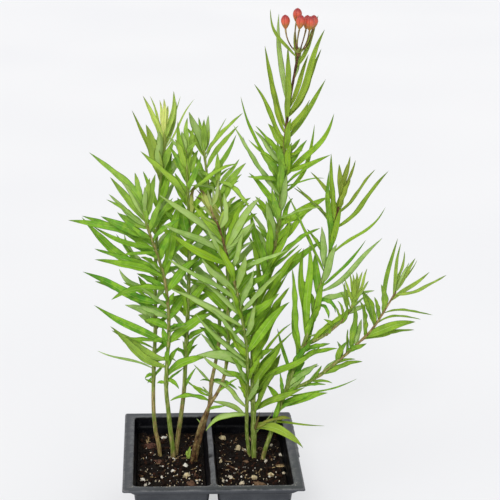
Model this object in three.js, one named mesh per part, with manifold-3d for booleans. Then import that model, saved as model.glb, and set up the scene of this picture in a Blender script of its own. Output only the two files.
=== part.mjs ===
// Potted butterfly weed in a two-cell nursery pack, in millimetres, +Z up.
// The origin is the centre of the left cell's foot, on the bench that the pack stands on.
import * as THREE from "three";
import { mergeVertices } from "three/addons/utils/BufferGeometryUtils.js";
import Module from "manifold-3d";

const wasm = await Module();
wasm.setup();

// The pack: one thermoformed sheet, square over its flange, which was torn from the next packs. Behind
// the score line a narrow strip of the next pack is left on it.
const PACK_SIDE = 135;
const PACK_CORNER = 2;
const RIM_HEIGHT = 58;
const FLANGE = 8;
const DIVIDER = 4.5;
const SHEET = 0.9;
const LIP = 3;
const LIP_LENGTH = 123;
const STRIP_WIDTH = 1.4;
const STRIP_LENGTH = 76;
const SCORE_LINE = -12;
const CELL_CORNER = 4;
const DRAIN_RADIUS = 2;
const DRAIN_SIDES = 10;
const DRAIN_ACROSS = 10;
const DRAIN_BACK = 32;
const CELL_WIDTH = (PACK_SIDE - 2 * FLANGE - DIVIDER) / 2;
const CELL_DEPTH = PACK_SIDE - 2 * FLANGE;
const CELL_CENTRE = (CELL_WIDTH + DIVIDER) / 2;

// How far the cell walls lean inwards for each millimetre below the rim
const WALL_LEAN = 0.11;

// The space left between pieces that touch, and how far a cutting shape runs past what it cuts
const GAP = 0.3;
const OVERRUN = 1;

// The potting mix stands below the rim, and its top rises and falls in two waves
const MIX_LEVEL = 44;
const SWELL = { height: 0.8, across: 33, back: 48 };
const RIPPLE = { height: 0.5, across: 17, back: 22 };
const MIX_STEPS_ACROSS = 4;
const MIX_STEPS_BACK = 8;

// A leaf's width and the rise of its arch, where its own row doesn't give them
const LEAF_WIDTH = 7;
const LEAF_ARCH = 2;

// How strongly a leaf's upper face is turned to the light at the front, against towards its stem's tip
const LEAF_TURN = 1;

// The width of a leaf's two ends as shares of the blade, its thickness, and how far out it is widest
const LEAF_FOOT = 0.18;
const LEAF_TIP = 0.08;
const LEAF_END_THICKNESS = 0.5;
const LEAF_THICKNESS = 0.8;
const LEAF_FULLNESS = 0.75;

// How finely the leaves and the stems are built: lengths along them, and sides round a stem
const LEAF_STEPS = 3;
const STEM_STEPS = 12;
const STEM_SIDES = 5;
const HALVINGS = 24;

// The flower buds, and the umbel and stalks that carry them
const BUD_LENGTH = 11;
const BUD_RADIUS = 3.4;
const BUD_FULLNESS = 0.8;
const BUD_HEEL = 0.85;
const BUD_SIDES = 8;
const BUD_RINGS = 5;
const STALK_RADIUS = 0.6;
const STALK_STEPS = 5;
const UMBEL_RADIUS = 2.4;

// A grain's width as a share of its length, the turn from one grain to the next in radians, and how far
// its middle stands above the mix as a share of its thickness
const GRAIN_WIDTH = 2 / 3;
const GRAIN_TURN = 2.4;
const GRAIN_RISE = 0.15;

// The plant is drawn on the upright plane through the pack's middle, as it looks from this point
const VIEWPOINT = new THREE.Vector3(-45, -1055, 582);

const ACROSS = new THREE.Vector3(1, 0, 0);
const BACK = new THREE.Vector3(0, 1, 0);
const UP = new THREE.Vector3(0, 0, 1);
const TURN = 2 * Math.PI;

function place([across, height, depth]) {
  const nearness = (depth - VIEWPOINT.y) / -VIEWPOINT.y;
  return new THREE.Vector3(across, 0, height).sub(VIEWPOINT).multiplyScalar(nearness).add(VIEWPOINT);
}

function solid(geometry) {
  const bare = geometry.clone();
  bare.deleteAttribute("normal");
  bare.deleteAttribute("uv");
  const merged = mergeVertices(bare);
  return new wasm.Manifold(new wasm.Mesh({
    numProp: 3,
    vertProperties: new Float32Array(merged.attributes.position.array),
    triVerts: new Uint32Array(merged.index.array),
  }));
}

const plant = new THREE.Group();
plant.position.x = CELL_CENTRE;

function addPiece(name, shape, [color, roughness]) {
  const { vertProperties, triVerts } = shape.getMesh();
  const geometry = new THREE.BufferGeometry();
  geometry.setAttribute("position", new THREE.BufferAttribute(vertProperties, 3));
  geometry.setIndex(new THREE.BufferAttribute(triVerts, 1));
  geometry.computeVertexNormals();
  const piece = new THREE.Mesh(geometry, new THREE.MeshStandardMaterial({ color, roughness, metalness: 0 }));
  piece.name = name;
  plant.add(piece);
}

// A prism with rounded corners whose walls lean inwards going down from the rim
function prism(width, depth, corner, bottom, top, lean = 0) {
  const [halfWidth, halfDepth] = [width / 2 - corner, depth / 2 - corner];
  const outline = new THREE.Shape();
  outline.absarc(halfWidth, halfDepth, corner, 0, Math.PI / 2);
  outline.absarc(-halfWidth, halfDepth, corner, Math.PI / 2, Math.PI);
  outline.absarc(-halfWidth, -halfDepth, corner, Math.PI, 1.5 * Math.PI);
  outline.absarc(halfWidth, -halfDepth, corner, 1.5 * Math.PI, 2 * Math.PI);
  const height = top - bottom;
  const geometry = new THREE.ExtrudeGeometry(outline, { depth: height, bevelEnabled: false, curveSegments: 2 });
  geometry.translate(0, 0, bottom);
  const spots = geometry.attributes.position;
  for (let i = 0; i < spots.count; i += 1) {
    const inset = lean * (RIM_HEIGHT - spots.getZ(i));
    spots.setX(i, spots.getX(i) - Math.sign(spots.getX(i)) * inset);
    spots.setY(i, spots.getY(i) - Math.sign(spots.getY(i)) * inset);
  }
  return geometry;
}

// A straight extrusion bent along a curve: the outline's x goes to the side and its y to the face
function sweep(outline, steps, curve, side, sizeAt) {
  const geometry = new THREE.ExtrudeGeometry(outline, { depth: 1, steps, bevelEnabled: false });
  const spots = geometry.attributes.position;
  for (let i = 0; i < spots.count; i += 1) {
    const along = spots.getZ(i);
    const forward = curve.getTangent(along);
    const across = side.clone().projectOnPlane(forward).normalize();
    const face = forward.clone().cross(across);
    const [width, thickness] = sizeAt(along);
    const spot = curve.getPoint(along);
    spot.addScaledVector(across, spots.getX(i) * width).addScaledVector(face, spots.getY(i) * thickness);
    spots.setXYZ(i, spot.x, spot.y, spot.z);
  }
  return geometry;
}

function polygon(sides) {
  const corners = [];
  for (let i = 0; i < sides; i += 1) {
    const angle = (TURN * i) / sides;
    corners.push(new THREE.Vector2(Math.cos(angle), Math.sin(angle)));
  }
  return new THREE.Shape(corners);
}

function rod(curve, footRadius, tipRadius, steps) {
  const radiusAt = (along) => THREE.MathUtils.lerp(footRadius, tipRadius, along);
  return sweep(polygon(STEM_SIDES), steps, curve, ACROSS, (along) => [radiusAt(along), radiusAt(along)]);
}

// Nursery pack: two tapered cells hung from a flat flange, with a lip turned down at its front and back
function buildPack() {
  const skirt = 2 * SHEET;
  let pack = solid(prism(PACK_SIDE, PACK_SIDE, PACK_CORNER, RIM_HEIGHT - SHEET, RIM_HEIGHT));
  for (const side of [-1, 1]) {
    const lip = new THREE.BoxGeometry(LIP_LENGTH, SHEET, LIP);
    pack = pack.add(solid(lip.translate(0, (side * (PACK_SIDE - SHEET)) / 2, RIM_HEIGHT - LIP / 2)));
  }
  const strip = new THREE.BoxGeometry(2 * STRIP_WIDTH, STRIP_LENGTH, SHEET);
  const stripBack = SCORE_LINE + STRIP_LENGTH / 2;
  pack = pack.add(solid(strip.translate(PACK_SIDE / 2, stripBack, RIM_HEIGHT - SHEET / 2)));
  for (const centre of [-CELL_CENTRE, CELL_CENTRE]) {
    const outside = prism(CELL_WIDTH + skirt, CELL_DEPTH + skirt, CELL_CORNER + SHEET, 0,
      RIM_HEIGHT - SHEET / 2, WALL_LEAN);
    pack = pack.add(solid(outside.translate(centre, 0, 0)));
  }
  for (const centre of [-CELL_CENTRE, CELL_CENTRE]) {
    const inside = prism(CELL_WIDTH, CELL_DEPTH, CELL_CORNER, SHEET, RIM_HEIGHT + OVERRUN, WALL_LEAN);
    pack = pack.subtract(solid(inside.translate(centre, 0, 0)));
    for (const across of [-DRAIN_ACROSS, DRAIN_ACROSS]) {
      for (const back of [-DRAIN_BACK, DRAIN_BACK]) {
        const drain = new THREE.CylinderGeometry(DRAIN_RADIUS, DRAIN_RADIUS, 4 * SHEET, DRAIN_SIDES);
        drain.rotateX(Math.PI / 2).translate(centre + across, back, 0);
        pack = pack.subtract(solid(drain));
      }
    }
  }
  return pack;
}

function mixHeight(x, y) {
  const swell = Math.sin((TURN * x) / SWELL.across) * Math.cos((TURN * y) / SWELL.back);
  const ripple = Math.sin(TURN * (x / RIPPLE.across + y / RIPPLE.back));
  return MIX_LEVEL + SWELL.height * swell + RIPPLE.height * ripple;
}

// Potting mix: a plug that fills the cell, with a gently uneven top
function buildMix(centre) {
  const inset = 2 * GAP;
  const plug = prism(CELL_WIDTH - inset, CELL_DEPTH - inset, CELL_CORNER - GAP, SHEET + GAP,
    MIX_LEVEL + FLANGE, WALL_LEAN);
  const ground = new THREE.BoxGeometry(CELL_WIDTH, CELL_DEPTH, 2 * MIX_LEVEL, MIX_STEPS_ACROSS, MIX_STEPS_BACK);
  ground.translate(centre, 0, 0);
  const spots = ground.attributes.position;
  for (let i = 0; i < spots.count; i += 1) {
    if (spots.getZ(i) > 0) {
      spots.setZ(i, mixHeight(spots.getX(i), spots.getY(i)));
    }
  }
  return solid(plug.translate(centre, 0, 0)).intersect(solid(ground));
}

// Each leaf row: its height on the stem, its tip across, the tip's height and the tip's depth past the
// stem, and where they differ from the usual its width and arch.
// Stems and tips are given on the drawing plane.
const shoots = {
  left_rear_shoot: {
    girth: [1.7, 0.9],
    stem: [[-38.5, 44, 16], [-40.5, 62, 16.5], [-43, 75, 17], [-44.5, 95, 18], [-44.3, 125, 20], [-43, 160, 22],
      [-43, 200, 25], [-42, 235, 28], [-39.5, 270, 30], [-36.5, 300, 31], [-36, 311, 31]],
    leaves: [
      [121, -51, 118, -3, 4, 1], [118, -49, 114, 6, 3, 1], [126, -87, 141, 8, 3, 1],
      [131, -27, 132, 8, 4, 3], [142, -68, 148, 10, 3, 3], [138, -24, 150, 16], [156, -28, 172, 8],
      [160, -56, 170, -6], [168, -66, 178, 24, 8], [170, -20, 187, 22], [180, -67, 196, 8, 5, 0],
      [185, -70, 207, 14, 7, -3], [182, -30, 200, -10], [196, -15, 212, 26, 8], [204, -72, 234, 10, 6, -5],
      [200, -66, 234, 16, 6, -3], [206, -97, 247, 12, 9, -7], [214, -28, 236, -8], [222, -72, 236, 22],
      [222, -18, 243, 16, 8], [232, -58, 252, 10, 6], [236, -26, 258, 12], [246, -24, 261, 6, 6, 1],
      [247, -27, 277, 10, 6, 1], [243, -31, 247, 4, 3, 0], [252, -52, 282, 14, 6, 0],
      [256, -30, 284, -8, 7, 0], [262, -31, 296, 6, 8, 0], [268, -15, 306, 12, 8], [272, -60, 327.5, 4, 5],
      [276, -50, 317, -8, 12, 1], [278, -30, 306, -8, 9, 0], [282, -41, 313, -12, 9, 0],
      [286, -46, 308, 10, 8], [296, -52, 338, 8, 6], [298, -15, 336, 4, 1.8, 0], [299, -28, 334, 10, 5, -3],
      [305, -47, 338, 14, 2.5, 0], [306, -30, 341.5, -4, 6, -2], [308, -40, 335, 8, 4, 0],
      [309, -37, 336, -3, 5, 0], [309, -34, 331, 3, 5, 0], [300, -25, 338, 14, 1.8, 0],
    ],
  },
  left_front_shoot: {
    girth: [2, 0.75],
    stem: [[-28.8, 44, 15.5], [-29.5, 58, 15], [-31, 70, 14.5], [-33, 90, 13.5], [-34.8, 110, 12], [-34, 135, 9],
      [-33, 150, 7], [-33, 168, 5], [-34, 182, 3], [-36, 197, 1], [-39, 209, -1], [-42.5, 221, -3],
      [-46.5, 232, -5], [-50, 243, -7], [-52, 251, -8]],
    leaves: [
      [114, -42, 114, 5, 3, 1], [116, -25, 109, -8, 4, 3], [119, -2, 136, -2, 8, 5],
      [127, -77, 161, -14, 9, -4], [145, -89, 178, -6, 8, -1], [147, 1, 172, 5, 10],
      [155, -19, 162, -22, 8, 1], [158, -52, 166, 8, 8], [166, -18, 188, 20, 8], [168, -58, 176, -10, 8],
      [171, -88, 197, 12, 9, -1], [180, -97, 204.5, 6, 9, -4], [176, -54, 192, -16, 8, 1],
      [191, -76, 182, -16, 8, 4], [188, -10, 215, 5, 8, 3], [199, -88, 214, -14, 8, 3],
      [199, -21, 265, 10, 9, 3], [205, -88, 222.5, 8, 8, -1], [202, -54, 216, -18, 8, 1],
      [206, -12, 232, 15, 8, 3], [212, -30, 240, -14, 8, 0], [220, -71, 216, -16, 3, 1],
      [214, -62, 226, 16], [227, -107, 244.5, -6, 7.5, 4], [221, -75, 240, 16, 6, 0],
      [226, -97, 248, 6, 7, 1], [227, -24, 246, -10, 6], [230, -83, 247.5, -12, 8, 0],
      [229, -87, 244.5, 8, 6, 1], [230, -71, 251, -14, 6, -3], [234, -30, 262, 8, 6, 0],
      [238, -79, 260.5, -8, 5.5, 1], [240, -91, 296, 4, 7.5, 10], [240, -77, 264.5, -6, 5.5, -1],
      [236, -38, 262, -10, 6, 0], [243, -76, 277.5, 2, 7, 0], [244, -43, 280, 6, 8, -1],
      [246, -62, 268, 14], [248, -68, 274, -8, 5, 1], [249, -58, 281, -2, 7, 0], [249, -47, 277, 5, 6, 0],
      [250, -55, 273, 8, 4, 0], [248, -51, 270, -10, 6, 0],
    ],
  },
  left_middle_shoot: {
    girth: [1.9, 0.9],
    stem: [[-27, 46, 19.5], [-26.9, 56, 19.5], [-25.5, 70, 19], [-23, 90, 18.5], [-21, 110, 18], [-20.3, 130, 18],
      [-19.5, 150, 18], [-18.5, 180, 18], [-18, 210, 18], [-18, 235, 17], [-19, 260, 16], [-20, 280, 15],
      [-21, 298, 14]],
    leaves: [
      [130, -28, 142, -6, 7, 3], [132, -22.5, 149, 2, 4], [133, -18, 151, 4, 5], [133, -13, 150, -4, 5],
      [131, -11, 146, 8, 5], [148, -4, 158, -8, 6], [150, -34, 160, -6, 6], [158, -2, 174, 10, 8],
      [160, -34, 172, 8, 6], [168, -32, 184, 4, 6, 0], [172, 2, 190, 10], [176, -4, 196, -4, 8, 1],
      [185, -46, 200, 20], [186, 4, 205, 28], [190, -32, 206, -8, 8], [196, -28, 214, -12, 6],
      [200, -2, 216, -10, 8], [205, -46, 228, 16, 8], [206, 6, 232, 32, 8], [214, -40, 240, -8, 8],
      [216, 2, 235, -8, 8], [220, -36, 238, 12], [224, -3, 253, 16, 8, 1], [228, -38, 252, 10],
      [232, -27, 262, -2, 9, 0], [238, -6, 256, -10, 7, 1], [244, 2, 276, 11, 8], [246, -14, 272, -4, 8, 0],
      [258, -54, 297, -16, 9.5, 1], [254, -30, 278, 8, 7, 0], [265, 17, 288, 6, 6],
      [266, -10, 294, -6, 7, -1], [268, -27, 319.5, -4, 8, 0], [272, -33, 301, 4, 6, 1],
      [276, -31, 292, 4, 5, 0], [282, -16, 315, 8, 7, 1], [278, -12, 298, 12, 6, 0],
      [286, -22, 316, 10, 6, 0], [284, -29, 306, -10, 6, 0], [290, -12, 305, -8, 6],
      [292, -34, 308, -6, 6, 1], [296, -20, 322, 4, 5, 0], [297, -24, 312, -2, 5, 0],
    ],
  },
  left_dark_shoot: {
    girth: [1.7, 0.8],
    stem: [[-12.5, 41, 8], [-11, 55, 8.5], [-8, 70, 9], [-4, 85, 10], [-1.2, 98, 11], [-0.8, 106, 13], [0, 116, 15],
      [2.5, 130, 18], [5, 148, 22], [5, 175, 26], [3, 205, 30], [0, 235, 33], [-3, 262, 35], [-6, 283, 36],
      [-8, 298, 37]],
    leaves: [
      [76, -11.5, 84, -2, 2.5, 1], [98.6, -32, 99, -8, 7, 4], [103, -18.5, 116, -4, 3, -2],
      [114, -14, 129.5, 8, 3, 0], [114, 20, 108, -12, 5, 3], [115, -9, 116, -10, 2.5, 1],
      [116, 13, 112, 4, 4], [138, -10, 160, 12, 8, 3], [146, -2, 162, -12, 4], [152, 24, 170, 18, 8],
      [154, -18, 170, 20], [165, -22, 184, 14, 8], [167, 30, 186, 21, 8], [178, -20, 200, 24, 8],
      [180, 26, 200, 28, 8], [190, 34, 212, 16, 8], [192, -24, 214, 8, 8], [203, -22, 228, 20, 8],
      [204, 24, 226, 26, 8], [214, 28, 240, 8, 8], [216, -26, 240, -6, 8], [226, 20, 252, 22, 8],
      [228, -22, 252, 16], [236, 22, 262, 14], [238, -22, 262, 10], [246, 12, 272, -8],
      [252, -18, 284, 6, 8], [256, 18, 275, 20, 6], [262, -20, 290, 12], [264, 8, 294, 12, 6, 0],
      [274, -18, 300, -8, 6, -1], [276, 15.5, 310, -4, 4.5, -2], [283, 17, 316.5, 4, 5],
      [290, 8, 322, 8, 2.5, 1], [293.5, 20, 326, -2, 5.5, 1], [292, -21, 315, 4, 6, 1],
      [294, -19, 326.5, -6, 8], [295, -17, 317, 8, 5, 0], [296, -4, 314, 4, 4, 0], [296, -5, 324, 8, 5, -1],
      [297, -8, 321, -3, 7, 0], [297, -12, 322.5, 6, 5, 0],
    ],
  },
  left_leaning_shoot: {
    girth: [1.6, 0.8],
    stem: [[-15.5, 41.5, 3.5], [-13.5, 55, 3.2], [-10.5, 70, 3], [-6, 85, 3], [-0.5, 97, 3], [4, 105, 3.5],
      [8, 114, 5], [11, 130, 9], [12, 150, 13], [11.5, 175, 17], [10.5, 205, 20], [8, 235, 22], [5, 258, 22],
      [2, 275, 22]],
    leaves: [
      [131, 2, 146, 8, 5, 1], [133, 20, 150, 12, 6], [146, 30, 162, -6], [147, -6, 166, -8],
      [149, 0, 161.5, 6, 3, 4], [160, 36, 176, 10], [162, -14, 178, 8], [170, 34, 190, -8, 8],
      [172, -12, 192, 6, 8], [180, -18, 196, 6], [182, 38, 206, 5, 8], [193, 34, 216, 8, 8],
      [195, -12, 214, 10, 8], [205, 38, 232, 12, 8], [208, -16, 226, 2, 8], [217, 30, 240, -6, 8],
      [218, -12, 242, 8, 8], [228, 32, 250, 1, 7, 3], [230, -14, 250, -2], [236, 26, 258, -8],
      [238, -10, 262, 10], [244, 27, 262, 10, 6], [247, -12, 268, 8, 6], [254, 20, 280, -6, 6],
      [264, 23, 288.5, 2, 6, 1], [264, -17, 271, -24, 5, 3], [270, 18, 291.5, 8, 4, 0],
      [270, -13, 283, 4, 7, 1], [272, 2, 296, 4, 6, 0], [274, 27, 253, -10, 7, 3],
    ],
  },
  left_sprout: {
    girth: [1.1, 0.5],
    stem: [[-18.4, 41, 9], [-17.8, 50, 9], [-17, 55, 9]],
    leaves: [[49, -16, 60.5, -2, 4, 0], [51, -19, 57, 3, 3, 0]],
  },
  right_leaning_shoot: {
    girth: [1.5, 0.75],
    stem: [[31, 43.5, 15.4], [29.6, 55, 14.8], [27.8, 70, 13], [27.3, 90, 10], [27.3, 110, 7], [27, 130, 4],
      [25.5, 148, 2], [22.5, 165, 0], [20, 180, -2], [17, 192, -4], [14, 203, -5], [11, 213, -7], [8.5, 223, -8],
      [6, 232, -9], [3, 241, -10], [-0.5, 248, -11], [-3, 256, -12]],
    leaves: [
      [87, -4.5, 73, -10, 7, 8], [85, -1, 99, 4, 5, 4], [93, 0, 115, -14, 5.5, 4], [98, 36, 118, -14, 8, 0],
      [99, 20, 111, 2, 5, 1], [108, 9, 124, -14, 6, 4], [112, 14, 136, -18, 8, 0],
      [114, 38, 138, -14, 8, 0], [121, -8, 137, -22, 8, -3], [126, -12, 137, -10, 10, 6],
      [131, -13, 171, -12, 6, -1], [136, 10, 160, -18, 8, 0], [138, 58, 180, -16, 9],
      [143, -1, 174, -26, 10, 1], [150, 46, 176, 8, 9], [152, 32, 178, -20, 8, 0], [158, 50, 187, -18, 9],
      [160, -32, 191, -20, 8], [166, 10, 194, -24, 8, 0], [168, -9, 197, 10, 5], [172, 52, 205, -10, 8],
      [176, 30, 206, -20, 8, 0], [180, -35, 215.5, -16, 8], [183, 44, 204, -18, 8],
      [186, -9, 215, -26, 10, 1], [190, 24, 218, -20, 8, 0], [196, 4, 226, -22, 8, 0],
      [197, 57, 222, -16, 8, 5], [206, 22, 236, -16, 7, 0], [209, -33, 235, -18, 8, -2],
      [210, -6, 240, -20, 6, 0], [214, 31, 229, 4, 4], [217, -39, 242, -14], [219, 30, 244, -12, 8, 1],
      [222, 21, 259, 8, 8, 0], [222, 34, 262.5, -14, 8], [224, -16, 246, 6, 5, 1],
      [228, -17, 258, -8, 5, 0], [230, -41, 264.5, -6, 7, 1], [236, 13, 262, 6, 6, 1],
      [238, 7, 266, -6, 8, -2], [240, -10, 248.5, -10, 3, 0], [246, -11, 255, 4, 4],
      [248, -14, 263, -4, 6, 1], [252, -11, 269, -8, 6, 1], [254, -1, 270, 6, 5, -2],
      [255, 3, 276, 4, 4, -2], [253, -14, 269, 8, 3, 0], [254, -5, 268, -2, 5, 0],
    ],
  },
  flowering_shoot: {
    girth: [2.1, 0.8],
    stem: [[33.7, 41.5, 10.8], [33.4, 55, 11], [33, 75, 11.5], [32.2, 95, 12.5], [31.5, 115, 14], [31, 135, 15.5],
      [31, 155, 17], [33, 175, 18], [37, 195, 19], [42, 212, 19.5], [46, 228, 20], [48.3, 245, 20],
      [49.5, 265, 19], [50.5, 285, 18], [51, 308, 17], [52.3, 325, 16], [54.5, 342, 15], [56.8, 358, 14],
      [58.5, 369, 13]],
    leaves: [
      [68, 48, 91, 8, 3, 0], [70, 37.5, 90, -6, 6, 0], [74, 72, 58, -17, 10, 7.5], [76, 62, 83.5, -9, 8],
      [79, 88.5, 77, 15, 2.5], [88, 50, 124, -16, 9, 1], [90, 72, 110, -18, 7, 1], [96, 20, 120, 16, 8],
      [104, 54, 150, -12, 9, 1], [104, 52.5, 138, 6, 11, -3], [106, 42, 126, 16], [110, 63, 158, 10, 4, 5],
      [113, 84, 145, -12, 7, -2], [116, 38, 168, -6, 8, 1], [120, 18, 146, 18, 8], [128, 47, 142, -20, 8],
      [130, 44, 160, -14, 8, 0], [135, 52, 172, 20, 8], [140, 12, 168, 26, 8], [144, 44, 174, 4, 8, 0],
      [150, 57.5, 192, -10, 9, -1], [152, 20, 178, 16, 8], [156, 10, 190, 24], [162, 63, 214, -8, 9],
      [166, 42, 196, -14, 8, 0], [170, 66, 223, -14, 8, 0], [172, 22, 202, 18, 8], [178, 14, 214, 20, 8],
      [182, 44, 212, -16, 8, 0], [186, 82, 229, 14, 8], [188, 26, 232, -12, 8], [188, 50, 214, 12],
      [196, 57, 249, -8, 6, -2], [198, 36, 228, -14, 8, 0], [200, 27, 252, 8, 7, 0],
      [206, 79, 238.5, -12, 8], [208, 30, 240, 12], [212, 56, 244, 10], [214, 40, 246, -14, 8, 0],
      [224, 26.5, 251, 10, 7, 1], [226, 31, 241, -10, 5, 0], [228, 38, 260, -12, 8, 0],
      [234, 58, 262, 12, 6], [240, 84, 262.5, 12, 8, 1], [240, 42, 270, -14, 8, 0], [244, 34, 272, 8, 7, 0],
      [246, 79, 254.5, -30, 4], [250, 53, 280, -14, 7, 0], [254, 25, 281, 4, 6, 0],
      [256, 44, 286, 12, 8, 0], [262, 13, 317, -4, 6, 0], [264, 72, 318, 12, 4, -10],
      [264, 47, 292, -16, 8, 0], [268, 18, 338, 8, 4.5, -3], [270, 81, 277, -10, 2, 1],
      [272, 33, 296, -14, 9, 1], [274, 45, 304, -14, 9, 0], [276, 56, 304, -12, 7, 0],
      [276, 86, 326, 10, 6, -5], [280, 67, 306, -8, 7, 0], [281, 85, 295, 6, 4.5, -1],
      [283, 29, 316.5, -6, 5.5], [284, 24, 306, 10, 3, 0], [286, 64, 298, -12, 6], [286, 46, 312, 12, 7, 0],
      [288, 35, 310, 6, 6, 1], [293, 62, 307, -10, 4, 0], [296, 43, 315, 10, 6], [298, 55, 322, -12, 6, 0],
      [303, 27.5, 347, 4, 5.5, 0], [304, 79, 351, 6, 5.5, -2], [306, 68, 336, -12, 4.5, 0],
      [310, 37, 356, -8, 6, -2], [314, 34.5, 375, 6, 6, -3], [318, 51, 374, -14, 7, 0],
      [322, 75, 373, 8, 6, -4], [324, 77, 387, -8, 7, -2], [328, 66, 369, 12, 5, -1],
      [330, 44, 398, 8, 5, -3], [350, 61, 376, 8, 4, -1], [358, 72, 397, 6, 4.5, -3],
      [360, 56, 388, 10, 4, 0], [366, 38, 401, -9, 3, -5],
    ],
  },
  right_shoot: {
    girth: [1.8, 0.9],
    stem: [[39.5, 41, 10], [41.5, 54, 10], [46, 70, 11], [49, 82, 12], [52.5, 93, 13], [56.5, 105, 14],
      [60, 117, 15], [64.5, 131, 16], [69, 144, 17], [73, 157, 18], [76.5, 172, 19], [79.5, 187, 20],
      [82, 198, 21], [84.7, 208, 22], [87, 220, 23], [88.7, 232, 24], [90.5, 245, 25], [92.5, 256, 26],
      [94, 264, 26]],
    leaves: [
      [86, 66, 98, -8, 6], [92, 89.5, 105, -8, 8], [94, 42, 112, 10, 6], [100, 52, 123, -11, 4, 0],
      [102, 112, 117, 14, 2.5, -3], [108, 61, 129, 6, 4, 0], [110, 81, 129.5, -6, 9],
      [112, 71, 131, 8, 8, 1], [118, 49, 159, 13, 4, 0], [122, 76, 150, -12], [128, 96, 142, -14, 7, 3],
      [132, 60, 168, -8, 6, 0], [138, 78, 168, 12, 7, 0], [140, 59, 207, -8, 8, -3],
      [150, 67, 223, 6, 8, -2], [152, 118, 188, -1, 5, -4], [158, 71, 226, -8, 7, -1],
      [166, 84, 198, -12, 7, 0], [168, 66, 200, 12], [178, 88, 166, -10, 5, 4], [180, 93, 171, -6, 5, 5],
      [181, 122, 189, 6, 8], [184, 76, 220, 12, 7, 0], [188, 126, 231, -8, 5, -3],
      [191, 113.5, 229.5, 8, 4, -3], [194, 92, 226, -12, 7, 0], [203, 54.5, 264, -8, 5, -1],
      [206, 80, 240, -12, 7, 0], [214, 84, 283, -10, 7, 0], [216, 127, 255, 6, 3.2, -3],
      [222, 94, 256, -10, 6, 0], [224, 85, 296, 4, 6, 1], [236, 60, 271, -4, 5],
      [238, 128, 283, 6, 5.5, -3], [240, 94, 272, 8, 6, 0], [250, 118, 284, -6, 5, -2],
      [252, 70, 282, 4, 4], [254, 100, 276, -8, 7, -1], [257, 97, 281, 6, 5], [259, 91, 288, -4, 6, 1],
      [260, 99, 294, 4, 5, 0], [261, 103, 291, 6, 4, -2], [262, 93, 276, -6, 5, 0],
    ],
  },
  right_side_branch: {
    girth: [1.3, 0.6],
    parent: "right_shoot",
    stem: [[56.5, 105, 14], [63, 108.5, 12.5], [70, 112, 11], [77, 116, 9.5], [85, 121.5, 8], [93, 129, 6.5],
      [100, 135, 5], [107, 141.5, 4], [112, 147, 3], [117, 152, 2], [124, 161.5, 1], [129, 170.5, 0],
      [134, 180, -1], [138, 188, -2]],
    leaves: [
      [114, 84, 128, -6, 6, 0], [121, 115.5, 131, -6, 6, 1], [121, 100, 137, 8, 6],
      [131, 103.5, 148.5, -6, 6, -2], [131, 95, 148, 6, 5, 3], [137, 118, 146, -8, 6, 1],
      [141, 107, 177, -8, 8, 0], [144, 113, 166, 8, 6, 0], [151, 111, 181, 3, 8, 1],
      [151, 154.5, 163.5, -8, 8.5], [151.5, 154, 157, 8, 5, 0], [161, 114.5, 187, -4, 7, 1],
      [161.5, 158.5, 165.5, 6, 3, 5], [165, 122, 184, 8, 6, 0], [170, 126.5, 194, -6],
      [170.5, 167.5, 169, 4, 3, 3], [173, 137.5, 231, 6, 4.5, -3], [180, 163, 204, 4, 4, 0],
      [184, 140, 227, -6, 4, -1], [186, 176, 201.5, -6, 5, -4], [187, 143, 220.5, 6, 3.5, 0],
      [187.5, 147, 211.5, -4, 3.5, 0], [188, 151.5, 215, 2, 4, -1], [188, 153, 213.5, 8, 2, -3],
    ],
  },
  right_small_branch: {
    girth: [1.1, 0.6],
    parent: "right_shoot",
    stem: [[69, 144, 17], [75, 147.5, 15], [84, 152, 12], [93, 159.5, 9], [101, 168, 7], [105.5, 177, 6],
      [108, 187, 6]],
    leaves: [
      [148, 107, 176, -12, 6, -2], [152, 88, 160, -6, 5], [158, 84, 166, -6, 4], [162, 102, 176, -8, 6],
      [164, 92, 178, 8, 3.5, 0], [166, 94, 181, 6, 3.5, 1], [170, 118, 178, 6, 5],
      [172, 96, 188, -5, 3.5, 0], [174, 97, 196, 4, 3, 0], [174, 112, 190, -6, 4.5, 0],
      [176, 100, 190, 6, 3], [178, 98, 200, -4, 3, 0], [180, 117, 197, -14, 5, -2],
      [181, 104.5, 203, 2, 3.5, 0], [182, 102, 204, 4, 3, 0], [183, 107.5, 204, -4, 3.5, 1],
      [184, 112, 204.5, 4, 3.5, -1], [185, 115.5, 207, 2, 3, -2],
    ],
  },
};

function stemCurve(shoot) {
  return new THREE.CatmullRomCurve3(shoot.stem.map(place));
}

// Where on the stem a leaf grows: the share of the way up at which the drawn stem has this height
function shareAt(drawnStem, height) {
  let [low, high] = [0, 1];
  for (let round = 0; round < HALVINGS; round += 1) {
    const middle = (low + high) / 2;
    if (drawnStem.getPoint(middle).z < height) {
      low = middle;
    } else {
      high = middle;
    }
  }
  return low;
}

function bladeSize(width) {
  return (along) => {
    const swell = LEAF_FOOT + (1 - LEAF_FOOT) * Math.sin(Math.PI * along ** LEAF_FULLNESS);
    const taper = along < 1 ? swell : LEAF_TIP;
    return [width * taper, LEAF_THICKNESS * Math.max(taper, LEAF_END_THICKNESS)];
  };
}

// A blade's section: flat above and keeled below, one across and one thick
const keel = new THREE.Shape([
  new THREE.Vector2(-0.5, 0.4),
  new THREE.Vector2(0, -0.6),
  new THREE.Vector2(0.5, 0.4),
]);

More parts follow.
